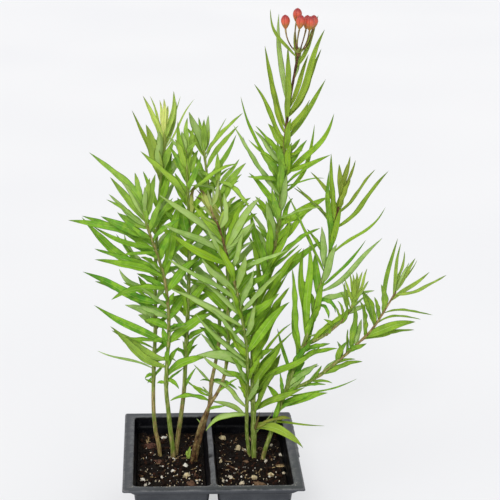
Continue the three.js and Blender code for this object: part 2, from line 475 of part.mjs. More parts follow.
// Leaf: a narrow blade on a curve that starts in the stem's middle and arches towards the stem's tip
function buildLeaf(curve, drawnStem, row) {
  const [height, tipAcross, tipHeight, tipDepth, width = LEAF_WIDTH, arch = LEAF_ARCH] = row;
  const share = shareAt(drawnStem, height);
  const drawnBase = drawnStem.getPoint(share);
  const base = place([drawnBase.x, drawnBase.z, drawnBase.y]);
  const tip = place([tipAcross, tipHeight, drawnBase.y + tipDepth]);
  const chord = tip.clone().sub(base);
  const tipwards = curve.getTangent(share);
  const upward = tipwards.clone().projectOnPlane(chord.clone().normalize()).normalize();
  const bend = base.clone().lerp(tip, 0.5).addScaledVector(upward, 2 * arch);
  const rib = new THREE.QuadraticBezierCurve3(base, bend, tip);
  const light = VIEWPOINT.clone().sub(base).normalize();
  const side = tipwards.addScaledVector(light, LEAF_TURN).cross(chord);
  return sweep(keel, LEAF_STEPS, rib, side, bladeSize(width));
}

function buildShoot(shoot) {
  const curve = stemCurve(shoot);
  const drawnStem = new THREE.CatmullRomCurve3(shoot.stem.map(([x, z, y]) => new THREE.Vector3(x, y, z)));
  let body = solid(rod(curve, ...shoot.girth, STEM_STEPS));
  for (const row of shoot.leaves) {
    body = body.add(solid(buildLeaf(curve, drawnStem, row)));
  }
  return body;
}

// The room round a stem's foot in the mix, or in the stem that it branches from
function socket(shoot) {
  const [foot, tip] = shoot.girth.map((radius) => radius + 2 * GAP);
  return solid(rod(stemCurve(shoot), foot, tip, STEM_STEPS).translate(0, 0, -GAP));
}

// The umbel's middle and each bud's foot on the drawing plane, with the way each stalk leaves the umbel:
// its heading round the stem and its lean off upright, in degrees
const umbel = [58.5, 369, 13];
const buds = [
  { foot: [49, 386.5, 14], heading: 180, lean: 48 },
  { foot: [56.5, 391.5, 19], heading: 118, lean: 34 },
  { foot: [58.8, 386.5, 8], heading: 250, lean: 36 },
  { foot: [63.5, 386.5, 23], heading: 66, lean: 58 },
  { foot: [66, 385.5, 9], heading: 318, lean: 46 },
  { foot: [68.4, 386.5, 15], heading: 12, lean: 54 },
];

// Flower bud: an egg on a thin curved stalk that springs from the umbel at the top of the stem
function buildBud({ foot, heading, lean }) {
  const out = UP.clone().applyAxisAngle(BACK, THREE.MathUtils.degToRad(lean));
  out.applyAxisAngle(UP, THREE.MathUtils.degToRad(heading));
  const start = place(umbel).addScaledVector(out, UMBEL_RADIUS + GAP);
  const end = place(foot);
  const bend = start.clone().addScaledVector(out, start.distanceTo(end) / 2);
  const stalk = rod(new THREE.QuadraticBezierCurve3(start, bend, end), STALK_RADIUS, STALK_RADIUS, STALK_STEPS);
  const profile = [];
  for (let ring = 0; ring <= BUD_RINGS; ring += 1) {
    const along = ring / BUD_RINGS;
    const swell = Math.sin(Math.PI * along ** BUD_HEEL) ** BUD_FULLNESS;
    profile.push(new THREE.Vector2(ring % BUD_RINGS ? BUD_RADIUS * swell : 0, BUD_LENGTH * along));
  }
  const axis = end.clone().sub(bend).normalize().add(UP).normalize();
  const egg = new THREE.LatheGeometry(profile, BUD_SIDES);
  egg.translate(0, -GAP, 0);
  egg.applyQuaternion(new THREE.Quaternion().setFromUnitVectors(BACK, axis));
  egg.translate(end.x, end.y, end.z);
  return solid(stalk).add(solid(egg));
}

// Grains that lie on the mix: centre across and back, length and thickness
const grains = {
  perlite: [[-36, 48.4, 5, 2.4], [-28.6, 10.5, 2.6, 2], [-19.5, -0.6, 5, 2], [-37.2, -1.1, 2.6, 2.2],
    [-29.3, -10, 3.2, 2.6], [-52.7, -22.8, 4, 2.4], [-38.2, -20.8, 2.6, 2.4], [-50.4, -32.1, 3.4, 2.6],
    [-8.9, -10.4, 2.4, 1.8], [27.7, 24.4, 3, 2], [55.6, 15, 3.4, 2.4], [43.3, 4.6, 3.2, 2.4],
    [49.8, 32.1, 2.6, 2.2], [19.2, -7.2, 2.4, 2], [14.5, -20.5, 4.6, 2.6], [8.5, -26.9, 3, 2.2],
    [22.7, -31.9, 4.4, 2.8], [56, -15.7, 2.4, 2]],
  pale_lump: [[-18.9, -18.8, 7, 4], [11.2, 44.4, 7, 5], [22.7, 25.5, 6.5, 5], [8.1, 4.8, 4, 3],
    [32, -23.1, 6, 4.5], [46.1, -17.4, 6, 3]],
  bark_chip: [[-46.6, 34.1, 10, 3], [-40.3, 6.8, 7, 2.5], [-16.1, -31, 9, 2.5], [40.3, 28.2, 6, 2.5],
    [29, 6, 6, 2], [36.6, -34.5, 11, 3]],
};

function grainAt([x, y, length, thickness], index, margin) {
  const lump = new THREE.IcosahedronGeometry(1, 0);
  lump.scale(length / 2 + margin, (GRAIN_WIDTH * length) / 2 + margin, thickness / 2 + margin);
  lump.rotateZ(index * GRAIN_TURN);
  lump.translate(x, y, mixHeight(x, y) + GRAIN_RISE * thickness);
  return solid(lump);
}

// Colour and roughness of each kind of piece
const finishes = {
  pack: ["#4a4c50", 0.45],
  mix: ["#2a1d14", 0.95],
  perlite: ["#e9e4d8", 0.9],
  pale_lump: ["#c9b27c", 0.9],
  bark_chip: ["#6b4630", 0.9],
  shoot: ["#6f9f3a", 0.55],
  bud: ["#d9534a", 0.5],
};

addPiece("nursery_pack", buildPack(), finishes.pack);

const ground = { left: buildMix(-CELL_CENTRE), right: buildMix(CELL_CENTRE) };
const cellOf = (x) => (x < 0 ? "left" : "right");
for (const [name, shoot] of Object.entries(shoots)) {
  let body = buildShoot(shoot);
  if (name === "flowering_shoot") {
    const knob = new THREE.SphereGeometry(UMBEL_RADIUS, BUD_SIDES, BUD_RINGS).translate(...place(umbel).toArray());
    body = body.add(solid(knob));
  }
  if (shoot.parent) {
    body = body.subtract(socket(shoots[shoot.parent]));
  } else {
    const cell = cellOf(shoot.stem[0][0]);
    ground[cell] = ground[cell].subtract(socket(shoot));
  }
  addPiece(name, body, finishes.shoot);
}
for (const [kind, rows] of Object.entries(grains)) {
  rows.forEach((row, index) => {
    const cell = cellOf(row[0]);
    ground[cell] = ground[cell].subtract(grainAt(row, index, GAP));
    addPiece(`${kind}_${index + 1}`, grainAt(row, index, 0), finishes[kind]);
  });
}
addPiece("left_potting_mix", ground.left, finishes.mix);
addPiece("right_potting_mix", ground.right, finishes.mix);
buds.forEach((bud, index) => addPiece(`flower_bud_${index + 1}`, buildBud(bud), finishes.bud));

export default plant;
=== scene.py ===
import math
import random

import bpy
from mathutils import Euler, Matrix, Vector, noise
from mathutils.geometry import tessellate_polygon


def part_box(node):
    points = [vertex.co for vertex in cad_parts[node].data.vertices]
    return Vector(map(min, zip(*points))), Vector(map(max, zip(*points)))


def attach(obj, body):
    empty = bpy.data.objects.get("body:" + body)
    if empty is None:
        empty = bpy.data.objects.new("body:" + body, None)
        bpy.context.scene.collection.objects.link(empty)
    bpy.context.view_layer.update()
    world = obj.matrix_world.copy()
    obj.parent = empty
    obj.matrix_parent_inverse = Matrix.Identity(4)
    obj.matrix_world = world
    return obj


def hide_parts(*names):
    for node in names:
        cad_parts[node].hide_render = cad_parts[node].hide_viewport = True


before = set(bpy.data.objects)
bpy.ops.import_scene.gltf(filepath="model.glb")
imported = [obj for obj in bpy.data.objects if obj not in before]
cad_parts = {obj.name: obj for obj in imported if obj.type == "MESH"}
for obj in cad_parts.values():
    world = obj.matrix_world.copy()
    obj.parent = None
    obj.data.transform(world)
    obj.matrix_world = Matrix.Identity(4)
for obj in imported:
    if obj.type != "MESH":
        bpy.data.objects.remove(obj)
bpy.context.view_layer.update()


# Nursery pack: two tapered cells hung from one flat flange, thermoformed from a single sheet of black
# plastic. Only the front and back edges are turned down, and a torn strip is left on the right-hand one.
# The whole plant is drawn in millimetres from the pack's middle, and show() sets it in the frame.
MM = 0.001
TURN = 2 * math.pi
PACK_SIDE = 135
PACK_CORNER = 2
RIM_HEIGHT = 58
FLANGE = 8
DIVIDER = 4.5
SHEET = 0.9
ROUND_OVER = 1.4
INNER_EDGE = ROUND_OVER + 0.5
EDGE_END = ROUND_OVER + 0.1
LIP = 3
LIP_LENGTH = 123
LIP_REACH = 0.5
CELL_CORNER = 4
CELL_WIDTH = (PACK_SIDE - 2 * FLANGE - DIVIDER) / 2
CELL_DEPTH = PACK_SIDE - 2 * FLANGE
CELL_CENTRE = (CELL_WIDTH + DIVIDER) / 2
WALL_LEAN = 0.11
SHOULDER_STEP = 0.5
FLOOR_ROUND = 3
DRAIN_RADIUS = 2
DRAIN_SIDES = 16
DRAIN_ACROSS = 10
DRAIN_BACK = 32
CORNER_STEPS = 8
ROUND_STEPS = 4
SIDE_STEPS = 90
PACK_MIDDLE = Vector((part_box("nursery_pack")[0].x + PACK_SIDE / 2 * MM, 0, 0))

# How far down the rings of a cell's wall are, above its shoulder and below it
UPPER_WALL = (7, 8)
LOWER_WALL = (8.6, 10, 20, 32, 44, RIM_HEIGHT - SHEET - FLOOR_ROUND)

# The score line's dent in the divider, the torn strip that starts level with it, and how uneven the sheet
# is: how far each kind of unevenness moves it, and how fine it is
SCORE_LINE = -12
NICK_WIDTH = 6
NICK_DEPTH = 1.6
STRIP_REACH = 1
STRIP_WIDTH = 1.4
STRIP_LENGTH = 76
STRIP_TAPER = 0.5
RAGGED = (0.4, 1 / 3)
SAG = (0.35, 1 / 40)
WAVER = (0.5, 1 / 14)
CRUMPLE = (1.2, 1 / 1.7)

# Where the finish changes: splashes by the front of a mouth, wear on its edge and on the flange's, painted
# shade below it and at the score line, and the rows of a mouth that have the flange's plastic; the rows below
# them have the cell plastic, which is painted darker as shade
SPLASH_DROP = 2
SPLASH_DEPTH = 3
WORN_DROP = 0.5
WORN_ROWS = (1, 2, 3)
SCORE_SHADE = 4
FLANGE_ROWS = 3


class Shell:
    """The points and faces of one piece, in millimetres from the pack's middle, with marks for its finish."""

    def __init__(self, *marks):
        self.points = []
        self.faces = []
        self.finishes = []
        self.marks = {mark: [] for mark in marks}

    def ring(self, points, **marks):
        """Adds points and their marks, one value for them all or one for each, and returns their numbers."""
        for mark, values in self.marks.items():
            given = marks.get(mark, 0.0)
            values.extend(given if isinstance(given, list) else [given] * len(points))
        self.points.extend(points)
        return range(len(self.points) - len(points), len(self.points))

    def dot(self, point, **marks):
        return self.ring([point], **marks)[0]

    def face(self, corners, finish=0):
        self.faces.append(tuple(corners))
        self.finishes.append(finish)

    def cap(self, ring, tip, finish=0):
        """Triangles from a closed ring to one point beyond it."""
        for i in range(len(ring)):
            self.face((ring[i - 1], ring[i], tip), finish)

    def tube(self, rings, finish=0):
        """Quads between each closed ring and the next one, which has as many points."""
        for lower, upper in zip(rings, rings[1:]):
            for i in range(len(lower)):
                self.face((lower[i - 1], lower[i], upper[i], upper[i - 1]), finish)

    def spindle(self, start, rings, end, finish=0):
        """A closed skin from one point, through closed rings, to another point."""
        self.cap(rings[0][::-1], start, finish)
        self.tube(rings, finish)
        self.cap(rings[-1], end, finish)

    def fill(self, *rings, finish=0):
        """A flat face inside the first ring with the other rings left open."""
        numbers = [number for ring in rings for number in ring]
        for triangle in tessellate_polygon([[self.points[number] for number in ring] for ring in rings]):
            self.face([numbers[corner] for corner in triangle], finish)


def put(name, data):
    """A new object of this mesh, light or camera in the scene."""
    thing = bpy.data.objects.new(name, data)
    bpy.context.scene.collection.objects.link(thing)
    return thing


def show(shell, name, nodes, finishes, sharp=180):
    """Makes the piece, sets it in the frame, and lets it stand for its CAD nodes."""
    mesh = bpy.data.meshes.new(name)
    mesh.from_pydata([(point + PACK_MIDDLE / MM) * MM for point in shell.points], [], shell.faces)
    for mark, values in shell.marks.items():
        mesh.attributes.new(mark, "FLOAT", "POINT").data.foreach_set("value", values)
    for finish in finishes:
        mesh.materials.append(finish.material)
    mesh.polygons.foreach_set("material_index", shell.finishes)
    mesh.polygons.foreach_set("use_smooth", [True] * len(mesh.polygons))
    mesh.set_sharp_from_angle(angle=math.radians(sharp))
    mesh.update()
    piece = put(name, mesh)
    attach(piece, "root")
    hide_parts(*nodes)
    return piece


def circle(middle, radius, sides, across=Vector((1, 0, 0)), face=Vector((0, 1, 0))):
    """Points round a circle that lies along two directions."""
    angles = [TURN * side / sides for side in range(sides)]
    return [middle + radius * (across * math.cos(angle) + face * math.sin(angle)) for angle in angles]


def outline(width, depth, radius, centre, height):
    """Points round a rounded rectangle, anticlockwise from the back end of its right-hand side."""
    corners = []
    for turn, (right, back) in enumerate(((1, 1), (-1, 1), (-1, -1), (1, -1))):
        middle = Vector((centre + right * (width / 2 - radius), back * (depth / 2 - radius), height))
        angles = [TURN / 4 * (turn + step / CORNER_STEPS) for step in range(CORNER_STEPS + 1)]
        corners.append([middle + radius * Vector((math.cos(angle), math.sin(angle), 0)) for angle in angles])
    points = []
    for corner, following in zip(corners, corners[1:] + corners[:1]):
        points += corner
        points += [corner[-1].lerp(following[0], step / SIDE_STEPS) for step in range(1, SIDE_STEPS)]
    return points


def rounding(radius):
    """How far in from the side and how far down from the top each step of a rounded edge is."""
    angles = [TURN / 4 * step / ROUND_STEPS for step in range(ROUND_STEPS + 1)]
    return [(radius * (1 - math.sin(angle)), radius * (1 - math.cos(angle))) for angle in angles]


def uneven(point, depth, fineness):
    return depth * noise.noise(point * fineness)


def torn(point):
    """A point of the formed sheet, moved by the score line's dent, the sheet's sag and the torn strip."""
    scored = max(0, 1 - abs(point.y - SCORE_LINE) / NICK_WIDTH) ** 2
    at_rim = point.z > RIM_HEIGHT - LIP
    on_divider = at_rim and abs(point.x) < DIVIDER
    on_strip = point.x > PACK_SIDE / 2 - STRIP_REACH and 0 < point.y - SCORE_LINE < STRIP_LENGTH
    ragged = 1 - RAGGED[0] + uneven(point, *RAGGED)
    taper = 1 - STRIP_TAPER * (point.y - SCORE_LINE) / STRIP_LENGTH
    sag = abs(uneven(point, *SAG)) * at_rim
    crumpled = on_divider * (uneven(point, *WAVER) + scored * uneven(point, *CRUMPLE))
    return point + Vector((crumpled + STRIP_WIDTH * taper * ragged * on_strip, 0,
                           -sag - NICK_DEPTH * scored * ragged * on_divider))


# The colour sockets of a Mix node go by number, because others share their names
UNDER, OVER, MIXED = 6, 7, 2


class Wire:
    """One output of a material's nodes. Arithmetic on it adds Math nodes."""

    def __init__(self, tree, socket):
        self.tree = tree
        self.socket = socket

    def node(self, kind, settings, sockets, output=0):
        """Adds any node: its settings first, then the value or the link of each of its sockets."""
        made = self.tree.nodes.new(kind)
        for setting, value in settings.items():
            setattr(made, setting, value)
        for name, value in sockets.items():
            if isinstance(value, Wire):
                self.tree.links.new(value.socket, made.inputs[name])
            else:
                made.inputs[name].default_value = value
        return Wire(self.tree, made.outputs[output])

    def math(self, operation, *values):
        return self.node("ShaderNodeMath", {"operation": operation}, dict(enumerate(values)))

    def __add__(self, other):
        return self.math("ADD", self, other)

    def __sub__(self, other):
        return self.math("SUBTRACT", self, other)

    def __rsub__(self, other):
        return self.math("SUBTRACT", other, self)

    def __mul__(self, other):
        return self.math("MULTIPLY", self, other)

    def __abs__(self):
        return self.math("ABSOLUTE", self)

    __radd__ = __add__
    __rmul__ = __mul__

    def ease(self, low, high):
        """0 up to low, 1 from high, and smooth between them."""
        return self.node("ShaderNodeMapRange", {"interpolation_type": "SMOOTHSTEP"},
                         {"Value": self, "From Min": low, "From Max": high})

    def paint(self, under, over):
        """The colour under where this is 0, and the colour over where it is 1."""
        sockets = {"Factor": self, UNDER: under, OVER: over}
        return self.node("ShaderNodeMix", {"data_type": "RGBA"}, sockets, output=MIXED)

    def cloud(self, size, detail=3.0, roughness=0.55):
        """Noise from 0 to 1 whose lumps are about this many millimetres across."""
        sockets = {"Vector": self, "Scale": 1 / (size * MM), "Detail": detail, "Roughness": roughness}
        return self.node("ShaderNodeTexNoise", {}, sockets)

    def relief(self, height, depth):
        """A Bump node: this height map raised by so many millimetres."""
        return self.node("ShaderNodeBump", {}, {"Height": height, "Distance": depth * MM, "Strength": 1.0})


def rgb(red, green, blue):
    return (red, green, blue, 1)


class Finish:
    """A material whose Principled shader has its even values set, and whose varying ones are fed by wires."""

    def __init__(self, name, **even):
        self.material = bpy.data.materials.new(name)
        self.material.use_nodes = True
        self.tree = self.material.node_tree
        self.inputs = self.tree.nodes["Principled BSDF"].inputs
        for socket, value in even.items():
            self.inputs[socket.replace("_", " ")].default_value = value
        self.place = Wire(self.tree, self.tree.nodes.new("ShaderNodeTexCoord").outputs["Object"])
        self.cloud = self.place.cloud
        self.relief = self.place.relief

    def mark(self, name):
        """The value of this mark on the piece's points."""
        return self.place.node("ShaderNodeAttribute", {"attribute_name": name}, {}, output="Fac")

    def feed(self, **wires):
        for socket, wire in wires.items():
            self.tree.links.new(wire.socket, self.inputs[socket.replace("_", " ")])


def black_plastic(name, gloss, plain_colour, smeared_colour):
    """Grained black plastic with smears, dust, splashes of dried mix and painted shade where it is marked
    shaded.
    """
    plastic = Finish(name, Specular_IOR_Level=gloss)
    grain = plastic.cloud(0.7, detail=2.0)
    smears = plastic.cloud(18, detail=5.0, roughness=0.65).ease(0.42, 0.72)
    dust = plastic.cloud(1.6, detail=6.0, roughness=0.8).ease(0.58, 0.74)
    splashes = plastic.mark("splashed") * plastic.cloud(0.9, detail=2.0).ease(0.62, 0.68)
    worn = plastic.mark("worn") * plastic.cloud(5, detail=5.0, roughness=0.7).ease(0.35, 0.7)
    # Painted shade: the plain colour turns near-black where the shaded mark is, on the divider's flanks and
    # at the score line's dent
    plain = plastic.mark("shaded").paint(smears.paint(plain_colour, smeared_colour), rgb(0.004, 0.004, 0.006))
    dusty = (0.4 * dust + 0.5 * worn).paint(plain, rgb(0.20, 0.20, 0.20))
    plastic.feed(
        Base_Color=splashes.paint(dusty, rgb(0.50, 0.46, 0.38)),
        Roughness=0.36 + 0.16 * smears + 0.2 * dust,
        Normal=plastic.relief(grain + 0.5 * dust, 0.06),
    )
    return plastic


flange_plastic = black_plastic("flange_plastic", gloss=0.35, plain_colour=rgb(0.026, 0.029, 0.036),
                               smeared_colour=rgb(0.048, 0.052, 0.060))
# The cells' walls below the mouth and their floors: the same black plastic, painted darker and less glossy as
# shade
cell_plastic_painted_shade = black_plastic("cell_plastic_painted_shade", gloss=0.06, plain_colour=rgb(0.002, 0.002, 0.003),
                             smeared_colour=rgb(0.007, 0.007, 0.009))
pack = Shell("splashed", "worn", "shaded")
edges = [outline(PACK_SIDE - 2 * inset, PACK_SIDE - 2 * inset, PACK_CORNER - inset, 0, RIM_HEIGHT - drop)
         for inset, drop in [(INNER_EDGE, 0), *rounding(ROUND_OVER), (0, EDGE_END)]]
for point in edges[-1]:
    if abs(point.y) > PACK_SIDE / 2 - LIP_REACH:
        point.z -= (LIP - ROUND_OVER) * min(1, max(0, (LIP_LENGTH / 2 - abs(point.x)) / LIP))
rows = [pack.ring([torn(point) for point in edge], worn=float(number in WORN_ROWS))
        for number, edge in enumerate(edges)]
pack.tube(rows[::-1])
levels = [(INNER_EDGE, 0), *rounding(ROUND_OVER), *((0, drop) for drop in UPPER_WALL)]
levels += [(-SHOULDER_STEP, drop) for drop in LOWER_WALL]
levels += [(-SHOULDER_STEP - inward, RIM_HEIGHT - SHEET - up) for up, inward in rounding(FLOOR_ROUND)[1:]]
mouths = []
for centre in (-CELL_CENTRE, CELL_CENTRE):
    walls = []
    for spread, drop in levels:
        wider = 2 * (spread - WALL_LEAN * drop)
        radius, height = CELL_CORNER + spread, RIM_HEIGHT - drop
        points = outline(CELL_WIDTH + wider, CELL_DEPTH + wider, radius, centre, height)
        splashed, shaded = [], []
        for point in points:
            # Painted shade is marked on the divider's flanks below the worn edge and at the score line
            in_shade = drop > WORN_DROP or abs(point.y - SCORE_LINE) < SCORE_SHADE
            splashed.append(float(drop < SPLASH_DROP and point.y < SPLASH_DEPTH - CELL_DEPTH / 2))
            shaded.append(float(in_shade and abs(point.x) < DIVIDER))
        walls.append(pack.ring([torn(point) for point in points], worn=float(drop < WORN_DROP),
                               splashed=splashed, shaded=shaded))
    pack.tube(walls[:FLANGE_ROWS + 1])
    # The rows below the mouth get the plastic that is painted darker as shade
    pack.tube(walls[FLANGE_ROWS:], finish=1)
    drains = [pack.ring(circle(Vector((centre + across, back, SHEET)), DRAIN_RADIUS, DRAIN_SIDES))
              for across in (-DRAIN_ACROSS, DRAIN_ACROSS) for back in (-DRAIN_BACK, DRAIN_BACK)]
    pack.fill(walls[-1], *drains, finish=1)
    mouths.append(walls[0])
pack.fill(rows[0], *mouths)
nursery_pack = show(pack, "pack", ["nursery_pack"], [flange_plastic, cell_plastic_painted_shade], sharp=40)
sheet = nursery_pack.modifiers.new("sheet", "SOLIDIFY")
sheet.thickness = SHEET * MM
sheet.offset = -1
sheet.material_offset = -1
sheet.material_offset_rim = -1


# Potting mix: a plug of dark peat and composted bark in each cell, tipped in loose and firmed down.
# Its top is crumbly, with loose crumbs, short straw-coloured fibres and fine white specks on it.
MIX_LEVEL = 44
MIX_GRID = 0.8
GAP = 0.3

# The mix's swells and ripples: their height, then their lengths across and back. Below them, the clods on
# its top and the dimples of a lump: how deep each kind is and how fine
SWELL = (0.8, 33, 48)
RIPPLE = (0.5, 17, 22)
CLODS = ((0.9, 0.22), (0.6, 0.55), (0.35, 1.3))
DIMPLES = ((1, 1.7), (0.4, 4.5))

# What is scattered on it: how far in from the mix's edge, between which sizes, how high for its size, how
# far a fibre tilts, where specks are thickest, from 1 at the back to -1, and how dark most crumbs are
SCATTER_INSET = 2.5
SCATTER_SIZES = (0.45, 1.1)
SCATTER_LIFT = 0.3
FIBRE_TILT = 0.3
SPECKS_NEAR = -0.9
CRUMB_DARKNESS = 2


def mix_height(x, y):
    swell = SWELL[0] * math.sin(TURN * x / SWELL[1]) * math.cos(TURN * y / SWELL[2])
    return MIX_LEVEL + swell + RIPPLE[0] * math.sin(TURN * (x / RIPPLE[1] + y / RIPPLE[2]))


def ground(x, y):
    """The crumbly top of the mix: the smooth one with lumps of three sizes on it."""
    return mix_height(x, y) + sum(uneven(Vector((x, y, 0)), *clods) for clods in CLODS)


def lump(shell, middle, radii, turn, wander, sides=7, rings=4, **marks):
    """A rough lump: an egg of these radii, turned, and pushed in and out by noise."""
    spin = Euler(turn).to_matrix()
    around = []
    for ring in range(rings + 2):
        polar = math.pi * ring / (rings + 1)
        count = sides if 0 < ring <= rings else 1
        points = []
        for way in circle(Vector((0, 0, math.cos(polar))), math.sin(polar), count):
            dimple = sum(depth * noise.noise(way * fineness + middle) for depth, fineness in DIMPLES)
            points.append(middle + spin @ (way * Vector(radii)) * (1 + wander * dimple))
        around.append(shell.ring(points, **marks))
    shell.spindle(around[-1][0], around[-2:0:-1], around[0][0])


peat = Finish("peat", Specular_IOR_Level=0.12)
crumb = peat.cloud(1.4, detail=6.0, roughness=0.7)
fine = peat.cloud(0.5, detail=3.0)
dark = crumb.ease(0.35, 0.75).paint(rgb(0.002, 0.0015, 0.001), rgb(0.012, 0.006, 0.004))
brown = (0.6 * peat.mark("tone") * crumb.ease(0.3, 0.6)).paint(dark, rgb(0.075, 0.026, 0.012))
peat.feed(
    Base_Color=fine.ease(0.66, 0.72).paint(brown, rgb(0.16, 0.11, 0.06)),
    Roughness=0.62 + 0.35 * crumb,
    Normal=peat.relief(crumb + 0.5 * fine, 0.5),
)


def flecked(finish, flecks, flecked_from, bump, ground, pale):
    """Pale flecks on a darker ground. The colours of both change with the tone of each lump."""
    tone = finish.mark("tone")
    finish.feed(
        Base_Color=flecks.ease(*flecked_from).paint(tone.paint(*ground), tone.paint(*pale)),
        Normal=finish.relief(flecks, bump),
    )


straw = Finish("straw", Roughness=0.8, Specular_IOR_Level=0.2)
flecked(straw, straw.cloud(1.6, detail=4.0), flecked_from=(0.3, 0.7), bump=0.3,
        ground=(rgb(0.030, 0.012, 0.008), rgb(0.26, 0.17, 0.07)),
        pale=(rgb(0.13, 0.055, 0.035), rgb(0.55, 0.42, 0.22)))
perlite = Finish("perlite", Roughness=0.85)
flecked(perlite, perlite.cloud(0.8, detail=5.0, roughness=0.7), flecked_from=(0.3, 0.62), bump=0.4,
        ground=(rgb(0.46, 0.42, 0.34), rgb(0.16, 0.10, 0.04)),
        pale=(rgb(0.88, 0.86, 0.80), rgb(0.62, 0.48, 0.24)))

chance = random.Random(4)
top_inset = WALL_LEAN * (RIM_HEIGHT - MIX_LEVEL) + GAP + SHOULDER_STEP
foot_inset = WALL_LEAN * (MIX_LEVEL - SHEET) + GAP
half_width = CELL_WIDTH / 2 - top_inset
half_depth = CELL_DEPTH / 2 - top_inset
columns = round(2 * half_width / MIX_GRID)
lines = round(2 * half_depth / MIX_GRID)
for cell, centre in (("left", -CELL_CENTRE), ("right", CELL_CENTRE)):
    mix = Shell("tone")
    plug = []
    for line in range(lines + 1):
        row = []
        for column in range(columns + 1):
            x = half_width * (2 * column / columns - 1)
            y = half_depth * (2 * line / lines - 1)
            past = Vector((max(abs(x) - half_width + CELL_CORNER, 0),
                           max(abs(y) - half_depth + CELL_CORNER, 0)))
            if past.length > CELL_CORNER:
                kept = past * (CELL_CORNER / past.length)
                x += math.copysign(kept.x - past.x, x)
                y += math.copysign(kept.y - past.y, y)
            row.append(Vector((centre + x, y, ground(centre + x, y))))
        plug.append(mix.ring(row))
    for front, back in zip(plug, plug[1:]):
        for i in range(columns):
            mix.face((front[i], front[i + 1], back[i + 1], back[i]))
    right_edge = [line[-1] for line in plug[1:]]
    left_edge = [line[0] for line in plug[-2:0:-1]]
    rim = [*plug[0], *right_edge, *plug[-1][-2::-1], *left_edge]
    narrowing = Vector((1 - foot_inset / half_width, 1 - foot_inset / half_depth, 0))
    bottom = Vector((centre, 0, SHEET + GAP))
    foot = mix.ring([bottom + (mix.points[i] - bottom) * narrowing for i in rim])
    mix.tube([foot, rim])
    mix.cap(foot[::-1], mix.dot(bottom))
    fibres = Shell("tone")
    specks = Shell("tone")
    for shell, count, radii, lift, wander in (
            (mix, 480, (1.9, 1.5, 1.1), 0, 0.5),
            (fibres, 70, (3.4, 0.7, 0.4), 0.3, 0.5),
            (specks, 175, (0.8, 0.6, 0.4), 0.2, 0.9)):
        for _ in range(count):
            x = centre + (half_width - SCATTER_INSET) * chance.uniform(-1, 1)
            back = chance.triangular(-1, 1, SPECKS_NEAR) if shell is specks else chance.uniform(-1, 1)
            y = (half_depth - SCATTER_INSET) * back
            size = chance.uniform(*SCATTER_SIZES) ** 2
            turn = [chance.uniform(0, TURN) for _ in range(3)]
            if shell is fibres:
                turn[:2] = [chance.uniform(-FIBRE_TILT, FIBRE_TILT) for _ in range(2)]
            tone = chance.random() ** (CRUMB_DARKNESS if shell is mix else 1)
            middle = Vector((x, y, ground(x, y) + SCATTER_LIFT * size + lift))
            lump(shell, middle, [radius * size for radius in radii], turn, wander, tone=tone)
    node = f"{cell}_potting_mix"
    show(mix, f"{cell}_peat", [node], [peat])
    show(fibres, f"{cell}_fibres", [node], [straw])
    show(specks, f"{cell}_specks", [node], [perlite], sharp=50)


# Perlite grains, pale clods and bark chips: loose bits that lie half sunk in the top of the mix.
# Perlite is white puffed glass, the clods are dried beige silt, and the bark is reddish and flaky.
# Each row is where a bit lies, across and back, and then its length and its thickness.
GRAINS = {
    "perlite": [
        (-36, 48.4, 5, 2.4), (-28.6, 10.5, 2.6, 2), (-19.5, -0.6, 5, 2), (-37.2, -1.1, 2.6, 2.2),
        (-29.3, -10, 3.2, 2.6), (-52.7, -22.8, 4, 2.4), (-38.2, -20.8, 2.6, 2.4), (-50.4, -32.1, 3.4, 2.6),
        (-8.9, -10.4, 2.4, 1.8), (27.7, 24.4, 3, 2), (55.6, 15, 3.4, 2.4), (43.3, 4.6, 3.2, 2.4),
        (49.8, 32.1, 2.6, 2.2), (19.2, -7.2, 2.4, 2), (14.5, -20.5, 4.6, 2.6), (8.5, -26.9, 3, 2.2),
        (22.7, -31.9, 4.4, 2.8), (56, -15.7, 2.4, 2),
    ],
    "pale_lump": [
        (-18.9, -18.8, 7, 4), (11.2, 44.4, 7, 5), (22.7, 25.5, 6.5, 5), (8.1, 4.8, 4, 3), (32, -23.1, 6, 4.5),
        (46.1, -17.4, 6, 3),
    ],
    "bark_chip": [
        (-46.6, 34.1, 10, 3), (-40.3, 6.8, 7, 2.5), (-16.1, -31, 9, 2.5), (40.3, 28.2, 6, 2.5), (29, 6, 6, 2),
        (36.6, -34.5, 11, 3),
    ],
}
GRAIN_WIDTH = 2 / 3
GRAIN_TURN = 2.4
GRAIN_RISE = 0.15
GRAIN_LIFT = 0.3
GRAIN_TONE = 0.04
CLOD_FULLNESS = 0.8
silt = Finish("silt", Roughness=0.9)
clots = silt.cloud(1.8, detail=5.0, roughness=0.7)
silt.feed(
    Base_Color=clots.ease(0.3, 0.62).paint(rgb(0.20, 0.13, 0.05), rgb(0.66, 0.56, 0.34)),
    Normal=silt.relief(clots, 0.7),
)
for kind, finish in (("perlite", perlite), ("pale_lump", silt), ("bark_chip", straw)):
    grains = Shell("tone")
    fullness = CLOD_FULLNESS if kind == "pale_lump" else 1
    for number, (x, y, length, thickness) in enumerate(GRAINS[kind]):
        middle = Vector((x, y, mix_height(x, y) + GRAIN_RISE * thickness + GRAIN_LIFT))
        radii = (fullness * length / 2, fullness * GRAIN_WIDTH * length / 2, thickness / 2)
        lump(grains, middle, radii, (0, 0, number * GRAIN_TURN), wander=0.6, sides=16, rings=10,
             tone=GRAIN_TONE * number)
    names = [f"{kind}_{number + 1}" for number in range(len(GRAINS[kind]))]
    show(grains, f"{kind}_grains", names, [finish], sharp=55)


